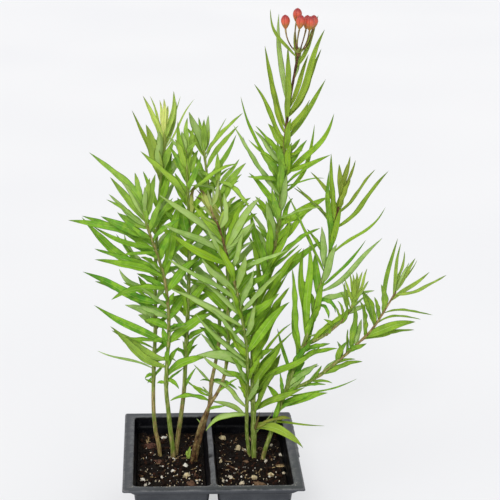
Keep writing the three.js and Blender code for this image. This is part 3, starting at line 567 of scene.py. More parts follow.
# Shoots of the left cell: soft green stems with narrow, pointed leaves in pairs up their whole length.
# The older stems are brown at the foot, two of them reddish where they cross, and the tips are yellow-green.
# Each is drawn on the upright plane through the pack's middle, as it looks from VIEWPOINT.
VIEWPOINT = Vector((-45, -1055, 582))
STEM_STEP = 2.5
STEM_SIDES = 10
STEM_END = 0.5
NODE_LENGTH = 1.5
NODE_SWELLING = 0.2
NODE_CROWD = 1.5
LEAF_WIDTH = 7
LEAF_ARCH = 2
LEAF_STEPS = 22
LEAF_ACROSS = (-1.0, -0.72, -0.4, -0.09, 0.0, 0.09, 0.4, 0.72, 1.0)
LEAF_THICKNESS = 0.45
LEAF_SLIM = 0.92
DRY_SHRINK = 1.8
LEAF_WAVE = 0.16

# A blade from end to end: the powers that make it fullest and thickest nearer its foot, and how wide it is
# near its ends and how sharply it ends. Then how far its faces and its rib stand out, as shares of its
# thickness, and how narrow the rib is
FULLNESS = 0.8
THICK_PART = 0.6
LEAF_END = 0.14
END_SHARPNESS = 6
UPPER_FACE = 0.3
LOWER_FACE = 0.7
RIB_DEPTH = 0.8
RIB_NARROWNESS = 6

# How much the leaves of a shoot differ: their sway and curl as shares of their length, their twist in
# radians, their fold in degrees and their waves from end to end, and how much of a turn each curl makes
LEAF_SWAY = 0.03
LEAF_TWIST = 0.6
LEAF_FOLD = (15, 42)
LEAF_WAVES = (2, 4.5)
CURL_TURN = 0.75

# Leaves that differ from the rest of their shoot, by where their tips are drawn: how far across and up,
# how near to it a tip is, and how yellow, dull or dry they are or whether they show their undersides
ODD_LEAVES = [
    (-38.5, 331, 5.5, {"youth": 1.0, "tint": 1.0}),
    (-52, 338, 3, {"youth": 0.5, "tint": 0.8}),
    (-8, 266, 9, {"youth": 0.6, "dull": 0.45, "dry": 0.32}),
    (-60, 328, 6, {"dull": 0.35}),
    (-50, 317, 4, {"youth": 0.3, "dull": 0.2}),
    (-54, 297, 5, {"youth": 0.15}),
    (-77, 160, 6, {"youth": 0.2, "dull": 0.15, "flipped": False}),
    (-87, 141, 3, {"dull": 0.15, "flipped": True}),
    (-89, 178, 3, {"tint": 0.1, "flipped": False}),
    (-97, 204.5, 6, {"tint": 0.0, "flipped": False}),
    (-2, 136, 3, {"tint": 0.5, "flipped": False}),
    (-11, 269, 5, {"youth": 0.7, "dull": 0.3, "dry": 0.4, "flipped": False}),
    (62, 83.5, 3, {"dull": 0.85}),
    (37.5, 90, 3, {"dry": 1.0}),
    (48, 91, 3, {"dull": 0.6, "dry": 0.6}),
    (72, 58, 3, {"youth": 0.15, "tint": 0.7, "flipped": False}),
    (52.5, 138, 3, {"dull": 0.35}),
    (46, 286, 20, {"youth": 0.1, "tint": 0.2}),
]


def place(across, height, depth):
    """The point at this depth that is drawn this far across and up."""
    nearness = (depth - VIEWPOINT.y) / -VIEWPOINT.y
    return VIEWPOINT + (Vector((across, 0, height)) - VIEWPOINT) * nearness


def on_stem(stem, height):
    """The point of a drawn stem at this height, on a smooth curve through its rows, and its depth."""
    last = len(stem) - 1
    row = next((i for i in range(last) if height <= stem[i + 1][1]), last - 1)
    rise = stem[row + 1][1] - stem[row][1]
    share = (height - stem[row][1]) / rise

    def slope(i, axis):
        before, after = stem[max(i - 1, 0)], stem[min(i + 1, last)]
        return rise * (after[axis] - before[axis]) / (after[1] - before[1])

    def smooth(axis):
        start, end = stem[row][axis], stem[row + 1][axis]
        eased = share * share * (3 - 2 * share)
        return (start + (end - start) * eased + share * (1 - share) ** 2 * slope(row, axis)
                - share * share * (1 - share) * slope(row + 1, axis))

    return place(smooth(0), height, smooth(2)), smooth(2)


def way_up(stem, height):
    """The direction in which a drawn stem grows at this height."""
    return (on_stem(stem, height + STEM_END)[0] - on_stem(stem, height - STEM_END)[0]).normalized()


def level(stops, height):
    """A value given at some heights, in a straight line between them."""
    if height <= stops[0][0]:
        return stops[0][1]
    for (low, before), (high, after) in zip(stops, stops[1:]):
        if height <= high:
            return before + (after - before) * (height - low) / (high - low)
    return stops[-1][1]


def bow(start, bend, end, share):
    """A point on the curve from start to end that bends towards a third point, and the curve's direction."""
    near = start.lerp(bend, share)
    far = bend.lerp(end, share)
    return near.lerp(far, share), (far - near).normalized()


def grow_stem(shell, shoot):
    foot, tip = shoot["girth"]
    stem, flush = shoot["stem"], shoot["flush"]
    bottom, top = stem[0][1], stem[-1][1]
    steps = round((top - bottom) / STEM_STEP)
    rings = []
    for step in range(steps + 1):
        height = bottom + (top - bottom) * step / steps
        forward = way_up(stem, height)
        across = (Vector((1, 0, 0)) - forward * forward.x).normalized()
        joints = sum(math.exp(-((height - leaf[0]) / NODE_LENGTH) ** 2) for leaf in shoot["leaves"])
        radius = (foot + (tip - foot) * step / steps) * (1 + NODE_SWELLING * min(joints, NODE_CROWD))
        points = circle(on_stem(stem, height)[0], radius, STEM_SIDES, across, forward.cross(across))
        rings.append(shell.ring(points, flush=level(flush, height), youth=level(shoot["youth"], height)))
    foot_dot = shell.dot(on_stem(stem, bottom)[0], flush=flush[0][1])
    shell.spindle(foot_dot, rings, shell.dot(on_stem(stem, top + STEM_END)[0], flush=flush[-1][1]))


def grow_leaf(shell, shoot, chance, height, across, up, back, width=LEAF_WIDTH, arch=LEAF_ARCH):
    """A blade on a curve that leaves the stem's middle: folded a little along its rib, waved and twisted.
    Its tip is drawn so far across and up, and lies so far behind the stem where the blade leaves it."""
    base, depth = on_stem(shoot["stem"], height)
    tip = place(across, up, depth + back)
    stem_way = way_up(shoot["stem"], height)
    chord = tip - base
    along = chord.normalized()
    upward = (stem_way - along * stem_way.dot(along)).normalized()
    bend = (base + tip) / 2 + upward * 2 * arch
    side = (stem_way + (VIEWPOINT - base).normalized()).cross(chord).normalized()
    flipped = chance.random() < shoot["undersides"]
    sway = chance.uniform(-LEAF_SWAY, LEAF_SWAY) * chord.length
    curl = chance.uniform(-LEAF_SWAY, LEAF_SWAY) * chord.length
    twist = chance.uniform(-LEAF_TWIST, LEAF_TWIST)
    fold = math.radians(chance.uniform(*LEAF_FOLD))
    waves, phase = chance.uniform(*LEAF_WAVES), chance.uniform(0, TURN)
    marks = {"youth": level(shoot["youth"], height), "dull": level(shoot["dull"], height), "dry": 0.0,
             "tint": chance.uniform(*shoot["tints"]), "flipped": flipped}
    for odd_across, odd_up, near, change in ODD_LEAVES:
        if math.hypot(across - odd_across, up - odd_up) < near:
            marks.update(change)
    if marks.pop("flipped"):
        side = -side
    half_blade = width / 2 * LEAF_SLIM / (1 + DRY_SHRINK * marks["dry"])
    rings = []
    for step in range(1, LEAF_STEPS):
        share = step / LEAF_STEPS
        middle, forward = bow(base, bend, tip, share)
        edgeways = (side - forward * side.dot(forward)).normalized()
        face = forward.cross(edgeways)
        middle += edgeways * sway * math.sin(TURN * share)
        middle += face * curl * math.sin(TURN * CURL_TURN * share) * (1 - share)
        turned = Matrix.Rotation(twist * math.sin(math.pi * share), 3, forward)
        edgeways, face = turned @ edgeways, turned @ face
        fullness = math.sin(math.pi * share ** FULLNESS) ** FULLNESS
        half = half_blade * max(LEAF_END * min(1, END_SHARPNESS * (1 - share)), fullness)
        thick = LEAF_THICKNESS * (1 + math.sin(math.pi * share ** THICK_PART)) / 2
        upper, lower = [], []
        for reach in LEAF_ACROSS:
            wave = LEAF_WAVE * math.sin(waves * TURN * share + phase + reach)
            rise = math.sin(fold) * abs(reach) + reach * reach * wave
            spot = middle + half * (edgeways * reach * math.cos(fold) + face * rise)
            inner = 1 - reach * reach
            rib = RIB_DEPTH * max(0, 1 - RIB_NARROWNESS * abs(reach))
            upper.append(spot + face * thick * UPPER_FACE * inner)
            lower.append(spot - face * thick * (LOWER_FACE * inner + rib))
        under = [0.0] * len(upper) + [1.0] * (len(lower) - 2)
        rings.append(shell.ring(upper + lower[-2:0:-1], across=[*LEAF_ACROSS, *LEAF_ACROSS[-2:0:-1]],
                                along=share, under=under, **marks))
    tip_dot, base_dot = shell.dot(tip, along=1.0, **marks), shell.dot(base, along=0.0, **marks)
    shell.spindle(tip_dot, rings[::-1], base_dot, finish=1)


stem_skin = Finish("stem_skin", Roughness=0.5, Specular_IOR_Level=0.15, Subsurface_Weight=0.1,
                   Subsurface_Radius=(0.002, 0.003, 0.001))
streaks = stem_skin.place.node("ShaderNodeMapping", {}, {"Vector": stem_skin.place, "Scale": (1, 1, 0.1)})
streak = streaks.cloud(0.9, detail=5.0, roughness=0.65)
fine_streak = streaks.cloud(0.4, detail=2.0)
blotch = stem_skin.cloud(5, detail=5.0, roughness=0.65)
reddened = (stem_skin.mark("flush") + 0.9 * (blotch - 0.5) + 0.5 * (streak - 0.5)).ease(0.05, 0.95)
young_skin = stem_skin.mark("youth").paint(rgb(0.13, 0.20, 0.022), rgb(0.38, 0.42, 0.08))
green_skin = streak.ease(0.42, 0.68).paint(young_skin, rgb(0.36, 0.42, 0.13))
tan_skin = streak.ease(0.35, 0.65).paint(rgb(0.14, 0.095, 0.028), rgb(0.40, 0.33, 0.13))
maroon_skin = streak.ease(0.4, 0.68).paint(rgb(0.025, 0.008, 0.006), rgb(0.24, 0.12, 0.05))
aged_skin = reddened.ease(0.12, 0.5).paint(green_skin, tan_skin)
red_skin = reddened.ease(0.55, 0.9).paint(aged_skin, maroon_skin)
stem_skin.feed(
    Base_Color=(0.35 * fine_streak.ease(0.5, 0.65)).paint(red_skin, rgb(0.035, 0.025, 0.012)),
    Normal=stem_skin.relief(streak + 0.4 * blotch, 0.25),
)

leaf_skin = Finish("leaf_skin", Specular_IOR_Level=0.12, Subsurface_Weight=0.12,
                   Subsurface_Radius=(0.002, 0.004, 0.001))
reach = abs(leaf_skin.mark("across"))
along = leaf_skin.mark("along")
under = leaf_skin.mark("under").ease(0.3, 0.7)
rib = 1 - reach.ease(0.03, 0.13)
slant = along * 24 - reach * 3.2
comb = abs(slant.math("FRACT", slant) - 0.5)
veins = comb.ease(0.36, 0.5) * (1 - reach.ease(0.75, 1))
mottle = leaf_skin.cloud(7, detail=4.0)
patch = leaf_skin.cloud(13, detail=3.0)
speckle = leaf_skin.cloud(0.8, detail=2.0)
fresh = leaf_skin.mark("tint").paint(rgb(0.085, 0.30, 0.016), rgb(0.31, 0.49, 0.018))
# Painted light and shade: the mottle paints lighter yellow-green patches as light, and the larger patches
# paint darker green as shade
with_painted_light = (0.8 * mottle.ease(0.4, 0.65)).paint(fresh, rgb(0.29, 0.52, 0.03))
with_painted_light_and_shade = (0.6 * patch.ease(0.5, 0.7)).paint(with_painted_light, rgb(0.075, 0.21, 0.006))
young = leaf_skin.mark("youth").paint(with_painted_light_and_shade, rgb(0.70, 0.75, 0.22))
olive = leaf_skin.mark("dull").paint(young, rgb(0.24, 0.21, 0.025))
withered = (leaf_skin.mark("dry") + along + 0.5 * (mottle - 0.5)).ease(0.95, 1.15)
dried = withered.paint(olive, rgb(0.11, 0.05, 0.018))
ribbed = (0.2 * veins + 0.55 * rib).paint(dried, rgb(0.38, 0.53, 0.13))
darker_edge = 0.4 * reach.ease(0.75, 1) + 0.45 * along.ease(0.7, 1)
margin = darker_edge.paint(ribbed, rgb(0.06, 0.12, 0.004))
blotchy = 0.45 + 0.4 * mottle.ease(0.35, 0.65)
leaf_skin.feed(
    Base_Color=(0.1 * speckle + under * blotchy).paint(margin, rgb(0.37, 0.51, 0.17)),
    Roughness=0.5 + 0.14 * speckle + 0.15 * under,
    Normal=leaf_skin.relief(veins * 0.4 - rib * 0.5 + speckle * 0.3, 0.25),
)


def grow_shoot(name, seed, tints=(0.1, 0.8), dull=((0, 0),), undersides=0.15, small=(), **drawn):
    """One shoot. Flush, youth and dull are how red, how young and how dull it is, each given at some heights,
    tints the range of its greens, and undersides the share of its leaves that are turned over. A stem's
    rows are where it is drawn, across and up, and its depth. A leaf's row is the height where it leaves the
    stem, where its tip is drawn, how far back that is from there, and its width and arch. The small leaves
    don't swell the stem."""
    shoot = {"tints": tints, "dull": dull, "undersides": undersides, **drawn}
    plant = Shell("flush", "youth", "dull", "dry", "tint", "across", "along", "under")
    chance = random.Random(seed)
    grow_stem(plant, shoot)
    for row in (*shoot["leaves"], *small):
        grow_leaf(plant, shoot, chance, *row)
    show(plant, f"{name}_leaves", [name], [stem_skin, leaf_skin])


grow_shoot(
    "left_rear_shoot", seed=11, girth=(1.7, 0.9), youth=[(260, 0), (300, 0.4)],
    flush=[(44, 0.6), (80, 0.45), (125, 0.3), (311, 0.1)],
    stem=[
        (-38.5, 44, 16), (-40.5, 62, 16.5), (-43, 75, 17), (-44.5, 95, 18), (-44.3, 125, 20),
        (-43, 160, 22), (-43, 200, 25), (-42, 235, 28), (-39.5, 270, 30), (-36.5, 300, 31), (-36, 311, 31),
    ],
    leaves=[
        (121, -51, 118, -3, 4, 1), (118, -49, 114, 6, 3, 1), (126, -87, 141, 8, 3, 1),
        (131, -27, 132, 8, 4, 3), (142, -68, 148, 10, 3, 3), (138, -24, 150, 16), (156, -28, 172, 8),
        (160, -56, 170, -6), (168, -66, 178, 24, 8), (170, -20, 187, 22), (180, -67, 196, 8, 5, 0),
        (185, -70, 207, 14, 7, -3), (182, -30, 200, -10), (196, -15, 212, 26, 8),
        (204, -72, 234, 10, 6, -5), (200, -66, 234, 16, 6, -3), (206, -97, 247, 12, 9, -7),
        (214, -28, 236, -8), (222, -72, 236, 22), (222, -18, 243, 16, 8), (232, -58, 252, 10, 6),
        (236, -26, 258, 12), (246, -24, 261, 6, 6, 1), (247, -27, 277, 10, 6, 1), (243, -31, 247, 4, 3, 0),
        (252, -52, 282, 14, 6, 0), (256, -30, 284, -8, 7, 0), (262, -31, 296, 6, 8, 0),
        (268, -15, 306, 12, 8), (272, -60, 327.5, 4, 5), (276, -50, 317, -8, 12, 1),
        (278, -30, 306, -8, 9, 0), (282, -41, 313, -12, 9, 0), (286, -46, 308, 10, 8),
        (296, -52, 338, 8, 6), (298, -15, 336, 4, 1.8, 0), (299, -28, 334, 10, 5, -3),
        (305, -47, 338, 14, 2.5, 0), (306, -30, 341.5, -4, 6, -2), (308, -40, 335, 8, 4, 0),
        (309, -37, 336, -3, 5, 0), (309, -34, 331, 3, 5, 0), (300, -25, 338, 14, 1.8, 0),
    ],
    small=[
        (118, -36, 131, 4, 3, 0), (113, -51, 118, -4, 3, 0), (180, -56, 201, 6, 8, 0),
    ],
)
grow_shoot(
    "left_front_shoot", seed=12, girth=(2, 0.75), tints=(0, 0.5), undersides=0.1,
    youth=[(225, 0), (250, 0.25)],
    flush=[(44, 0.6), (58, 0.35), (90, 0.15), (150, 0.3), (185, 0.42), (232, 0.4), (251, 0.3)],
    stem=[
        (-28.8, 44, 15.5), (-29.5, 58, 15), (-31, 70, 14.5), (-33, 90, 13.5), (-34.8, 110, 12),
        (-34, 135, 9), (-33, 150, 7), (-33, 168, 5), (-34, 182, 3), (-36, 197, 1), (-39, 209, -1),
        (-42.5, 221, -3), (-46.5, 232, -5), (-50, 243, -7), (-52, 251, -8),
    ],
    leaves=[
        (114, -42, 114, 5, 3, 1), (116, -25, 109, -8, 4, 3), (119, -2, 136, -2, 8, 5),
        (127, -77, 161, -14, 9, -4), (145, -89, 178, -6, 8, -1), (147, 1, 172, 5, 10),
        (155, -19, 162, -22, 8, 1), (158, -52, 166, 8, 8), (166, -18, 188, 20, 8), (168, -58, 176, -10, 8),
        (171, -88, 197, 12, 9, -1), (180, -97, 204.5, 6, 9, -4), (176, -54, 192, -16, 8, 1),
        (191, -76, 182, -16, 8, 4), (188, -10, 215, 5, 8, 3), (199, -88, 214, -14, 8, 3),
        (199, -21, 265, 10, 9, 3), (205, -88, 222.5, 8, 8, -1), (202, -54, 216, -18, 8, 1),
        (206, -12, 232, 15, 8, 3), (212, -30, 240, -14, 8, 0), (220, -71, 216, -16, 3, 1),
        (214, -62, 226, 16), (227, -107, 244.5, -6, 7.5, 4), (221, -75, 240, 16, 6, 0),
        (226, -97, 248, 6, 7, 1), (227, -24, 246, -10, 6), (230, -83, 247.5, -12, 8, 0),
        (229, -87, 244.5, 8, 6, 1), (230, -71, 251, -14, 6, -3), (234, -30, 262, 8, 6, 0),
        (238, -79, 260.5, -8, 5.5, 1), (240, -91, 296, 4, 7.5, 10), (240, -77, 264.5, -6, 5.5, -1),
        (236, -38, 262, -10, 6, 0), (243, -76, 277.5, 2, 7, 0), (244, -43, 280, 6, 8, -1),
        (246, -62, 268, 14), (248, -68, 274, -8, 5, 1), (249, -58, 281, -2, 7, 0), (249, -47, 277, 5, 6, 0),
        (250, -55, 273, 8, 4, 0), (248, -51, 270, -10, 6, 0),
    ],
    small=[
        (133, -76, 157.5, -6, 8, -2), (190, -57, 203, 6, 8, 0), (175, -29, 188, -4, 7, 0),
        (143, -38, 160, -3, 7, 0), (126, -25, 144, 4, 6, 1), (223, -89, 240, 2, 5, -4),
        (238, -70, 250, -6, 5, -1), (115, -21, 127, 4, 3, 0), (165, -27, 171, -8, 6, 1),
        (180, -38, 188, -9, 5, 0), (155, -24, 163, -9, 6, 1), (128, -33, 143, -8, 6, 0),
        (150, -66, 152, -8, 7, -2),
    ],
)
grow_shoot(
    "left_middle_shoot", seed=13, girth=(1.9, 0.9), tints=(0, 0.9), youth=[(250, 0), (297, 0.25)],
    flush=[(44, 0.6), (90, 0.4), (130, 0.2), (298, 0.1)],
    stem=[
        (-27, 46, 19.5), (-26.9, 56, 19.5), (-25.5, 70, 19), (-23, 90, 18.5), (-21, 110, 18),
        (-20.3, 130, 18), (-19.5, 150, 18), (-18.5, 180, 18), (-18, 210, 18), (-18, 235, 17),
        (-19, 260, 16), (-20, 280, 15), (-21, 298, 14),
    ],
    leaves=[
        (130, -28, 142, -6, 7, 3), (132, -22.5, 149, 2, 4), (133, -18, 151, 4, 5), (133, -13, 150, -4, 5),
        (131, -11, 146, 8, 5), (148, -4, 158, -8, 6), (150, -34, 160, -6, 6), (158, -2, 174, 10, 8),
        (160, -34, 172, 8, 6), (168, -32, 184, 4, 6, 0), (172, 2, 190, 10), (176, -4, 196, -4, 8, 1),
        (185, -46, 200, 20), (186, 4, 205, 28), (190, -32, 206, -8, 8), (196, -28, 214, -12, 6),
        (200, -2, 216, -10, 8), (205, -46, 228, 16, 8), (206, 6, 232, 32, 8), (214, -40, 240, -8, 8),
        (216, 2, 235, -8, 8), (220, -36, 238, 12), (224, -3, 253, 16, 8, 1), (228, -38, 252, 10),
        (232, -27, 262, -2, 9, 0), (238, -6, 256, -10, 7, 1), (244, 2, 276, 11, 8),
        (246, -14, 272, -4, 8, 0), (258, -54, 297, -16, 9.5, 1), (254, -30, 278, 8, 7, 0),
        (265, 17, 288, 6, 6), (266, -10, 294, -6, 7, -1), (268, -27, 319.5, -4, 8, 0),
        (272, -33, 301, 4, 6, 1), (276, -31, 292, 4, 5, 0), (282, -16, 315, 8, 7, 1),
        (278, -12, 298, 12, 6, 0), (286, -22, 316, 10, 6, 0), (284, -29, 306, -10, 6, 0),
        (290, -12, 305, -8, 6), (292, -34, 308, -6, 6, 1), (296, -20, 322, 4, 5, 0),
        (297, -24, 312, -2, 5, 0),
    ],
    small=[
        (135, -8, 155, -4, 4, 3), (262, -29, 281, 4, 5, 0), (170, -24, 192, -6, 5, 0),
        (172, -10, 176, -6, 4, 1), (108, -12, 127, -5, 3, 1), (190, -25, 196, -6, 4, 0),
    ],
)
grow_shoot(
    "left_dark_shoot", seed=14, girth=(1.7, 0.8), youth=[(250, 0), (297, 0.2)],
    flush=[(41, 0.75), (100, 0.62), (118, 0.5), (145, 0.3), (298, 0.15)],
    stem=[
        (-12.5, 41, 8), (-11, 55, 8.5), (-8, 70, 9), (-4, 85, 10), (-1.2, 98, 11), (-0.8, 106, 13),
        (0, 116, 15), (2.5, 130, 18), (5, 148, 22), (5, 175, 26), (3, 205, 30), (0, 235, 33), (-3, 262, 35),
        (-6, 283, 36), (-8, 298, 37),
    ],
    leaves=[
        (76, -11.5, 84, -2, 2.5, 1), (98.6, -32, 99, -8, 7, 4), (103, -18.5, 116, -4, 3, -2),
        (114, -14, 129.5, 8, 3, 0), (114, 20, 108, -12, 5, 3), (115, -9, 116, -10, 2.5, 1),
        (116, 13, 112, 4, 4), (138, -10, 160, 12, 8, 3), (146, -2, 162, -12, 4), (152, 24, 170, 18, 8),
        (154, -18, 170, 20), (165, -22, 184, 14, 8), (167, 30, 186, 21, 8), (178, -20, 200, 24, 8),
        (180, 26, 200, 28, 8), (190, 34, 212, 16, 8), (192, -24, 214, 8, 8), (203, -22, 228, 20, 8),
        (204, 24, 226, 26, 8), (214, 28, 240, 8, 8), (216, -26, 240, -6, 8), (226, 20, 252, 22, 8),
        (228, -22, 252, 16), (236, 22, 262, 14), (238, -22, 262, 10), (246, 12, 272, -8),
        (252, -18, 284, 6, 8), (256, 18, 275, 20, 6), (262, -20, 290, 12), (264, 8, 294, 12, 6, 0),
        (274, -18, 300, -8, 6, -1), (276, 15.5, 310, -4, 4.5, -2), (283, 17, 316.5, 4, 5),
        (290, 8, 322, 8, 2.5, 1), (293.5, 20, 326, -2, 5.5, 1), (292, -21, 315, 4, 6, 1),
        (294, -19, 326.5, -6, 8), (295, -17, 317, 8, 5, 0), (296, -4, 314, 4, 4, 0),
        (296, -5, 324, 8, 5, -1), (297, -8, 321, -3, 7, 0), (297, -12, 322.5, 6, 5, 0),
    ],
    small=[
        (138, -9, 155, -4, 4, 1), (103, -19, 115, -6, 3, 0), (103, -7, 111, -6, 3, 0),
        (275, -11, 288, -4, 3, 0), (272, 12, 285, -4, 3, 0),
    ],
)
grow_shoot(
    "left_leaning_shoot", seed=15, girth=(1.6, 0.8), youth=[(230, 0), (275, 0.2)],
    flush=[(41, 0.75), (98, 0.62), (114, 0.5), (145, 0.3), (275, 0.15)],
    stem=[
        (-15.5, 41.5, 3.5), (-13.5, 55, 3.2), (-10.5, 70, 3), (-6, 85, 3), (-0.5, 97, 3), (4, 105, 3.5),
        (8, 114, 5), (11, 130, 9), (12, 150, 13), (11.5, 175, 17), (10.5, 205, 20), (8, 235, 22),
        (5, 258, 22), (2, 275, 22),
    ],
    leaves=[
        (131, 2, 146, 8, 5, 1), (133, 20, 150, 12, 6), (146, 30, 162, -6), (147, -6, 166, -8),
        (149, 0, 161.5, 6, 3, 4), (160, 36, 176, 10), (162, -14, 178, 8), (170, 34, 190, -8, 8),
        (172, -12, 192, 6, 8), (180, -18, 196, 6), (182, 38, 206, 5, 8), (193, 34, 216, 8, 8),
        (195, -12, 214, 10, 8), (205, 38, 232, 12, 8), (208, -16, 226, 2, 8), (217, 30, 240, -6, 8),
        (218, -12, 242, 8, 8), (228, 32, 250, 1, 7, 3), (230, -14, 250, -2), (236, 26, 258, -8),
        (238, -10, 262, 10), (244, 27, 262, 10, 6), (247, -12, 268, 8, 6), (254, 20, 280, -6, 6),
        (264, 23, 288.5, 2, 6, 1), (264, -17, 271, -24, 5, 3), (270, 18, 291.5, 8, 4, 0),
        (270, -13, 283, 4, 7, 1), (272, 2, 296, 4, 6, 0), (274, 27, 253, -10, 7, 3),
    ],
    small=[
        (250, 16, 263, -4, 6, 0), (105, 21, 118, -6, 3, 1), (90, 12, 95, -8, 3, 1),
        (150, -6, 168, -6, 4, 0), (136, 10, 141, -8, 4, 0),
    ],
)
grow_shoot(
    "left_sprout", seed=16, girth=(1.1, 0.5), tints=(0.1, 0.4), undersides=0, youth=[(41, 0.3)],
    flush=[(41, 0)],
    stem=[
        (-18.4, 41, 9), (-17.8, 50, 9), (-17, 55, 9),
    ],
    leaves=[
        (49, -16, 60.5, -2, 4, 0), (51, -19, 57, 3, 3, 0),
    ],
)


# Shoots of the right cell: one leans to the left, the tallest carries the flower buds, and the third
# is maroon near its tip and has two side branches, which spring from its lower half.
grow_shoot(
    "right_leaning_shoot", seed=31, girth=(1.5, 0.75), tints=(0.3, 1), undersides=0.6,
    youth=[(225, 0), (252, 0.7)],
    flush=[(43, 0.5), (58, 0.2), (180, 0.2), (203, 0.62), (241, 0.68), (256, 0.4)],
    dull=[(240, 0), (256, 0.3)],
    stem=[
        (31, 43.5, 15.4), (29.6, 55, 14.8), (27.8, 70, 13), (27.3, 90, 10), (27.3, 110, 7), (27, 130, 4),
        (25.5, 148, 2), (22.5, 165, 0), (20, 180, -2), (17, 192, -4), (14, 203, -5), (11, 213, -7),
        (8.5, 223, -8), (6, 232, -9), (3, 241, -10), (-0.5, 248, -11), (-3, 256, -12),
    ],
    leaves=[
        (87, -4.5, 73, -10, 7, 8), (85, -1, 99, 4, 5, 4), (93, 0, 115, -14, 5.5, 4),
        (98, 36, 118, -14, 8, 0), (99, 20, 111, 2, 5, 1), (108, 9, 124, -14, 6, 4),
        (112, 14, 136, -18, 8, 0), (114, 38, 138, -14, 8, 0), (121, -8, 137, -22, 8, -3),
        (126, -12, 137, -10, 10, 6), (131, -13, 171, -12, 6, -1), (136, 10, 160, -18, 8, 0),
        (138, 58, 180, -16, 9), (143, -1, 174, -26, 10, 1), (150, 46, 176, 8, 9), (152, 32, 178, -20, 8, 0),
        (158, 50, 187, -18, 9), (160, -32, 191, -20, 8), (166, 10, 194, -24, 8, 0), (168, -9, 197, 10, 5),
        (172, 52, 205, -10, 8), (176, 30, 206, -20, 8, 0), (180, -35, 215.5, -16, 8),
        (183, 44, 204, -18, 8), (186, -9, 215, -26, 10, 1), (190, 24, 218, -20, 8, 0),
        (196, 4, 226, -22, 8, 0), (197, 57, 222, -16, 8, 5), (206, 22, 236, -16, 7, 0),
        (209, -33, 235, -18, 8, -2), (210, -6, 240, -20, 6, 0), (214, 31, 229, 4, 4), (217, -39, 242, -14),
        (219, 30, 244, -12, 8, 1), (222, 21, 259, 8, 8, 0), (222, 34, 262.5, -14, 8),
        (224, -16, 246, 6, 5, 1), (228, -17, 258, -8, 5, 0), (230, -41, 264.5, -6, 7, 1),
        (236, 13, 262, 6, 6, 1), (238, 7, 266, -6, 8, -2), (240, -10, 248.5, -10, 3, 0),
        (246, -11, 255, 4, 4), (248, -14, 263, -4, 6, 1), (252, -11, 269, -8, 6, 1),
        (254, -1, 270, 6, 5, -2), (255, 3, 276, 4, 4, -2), (253, -14, 269, 8, 3, 0),
        (254, -5, 268, -2, 5, 0),
    ],
    small=[
        (213, 29, 238, 6, 5, 0), (205, 20, 222, -6, 4, 0), (222, 27, 237, -6, 4, 0),
    ],
)
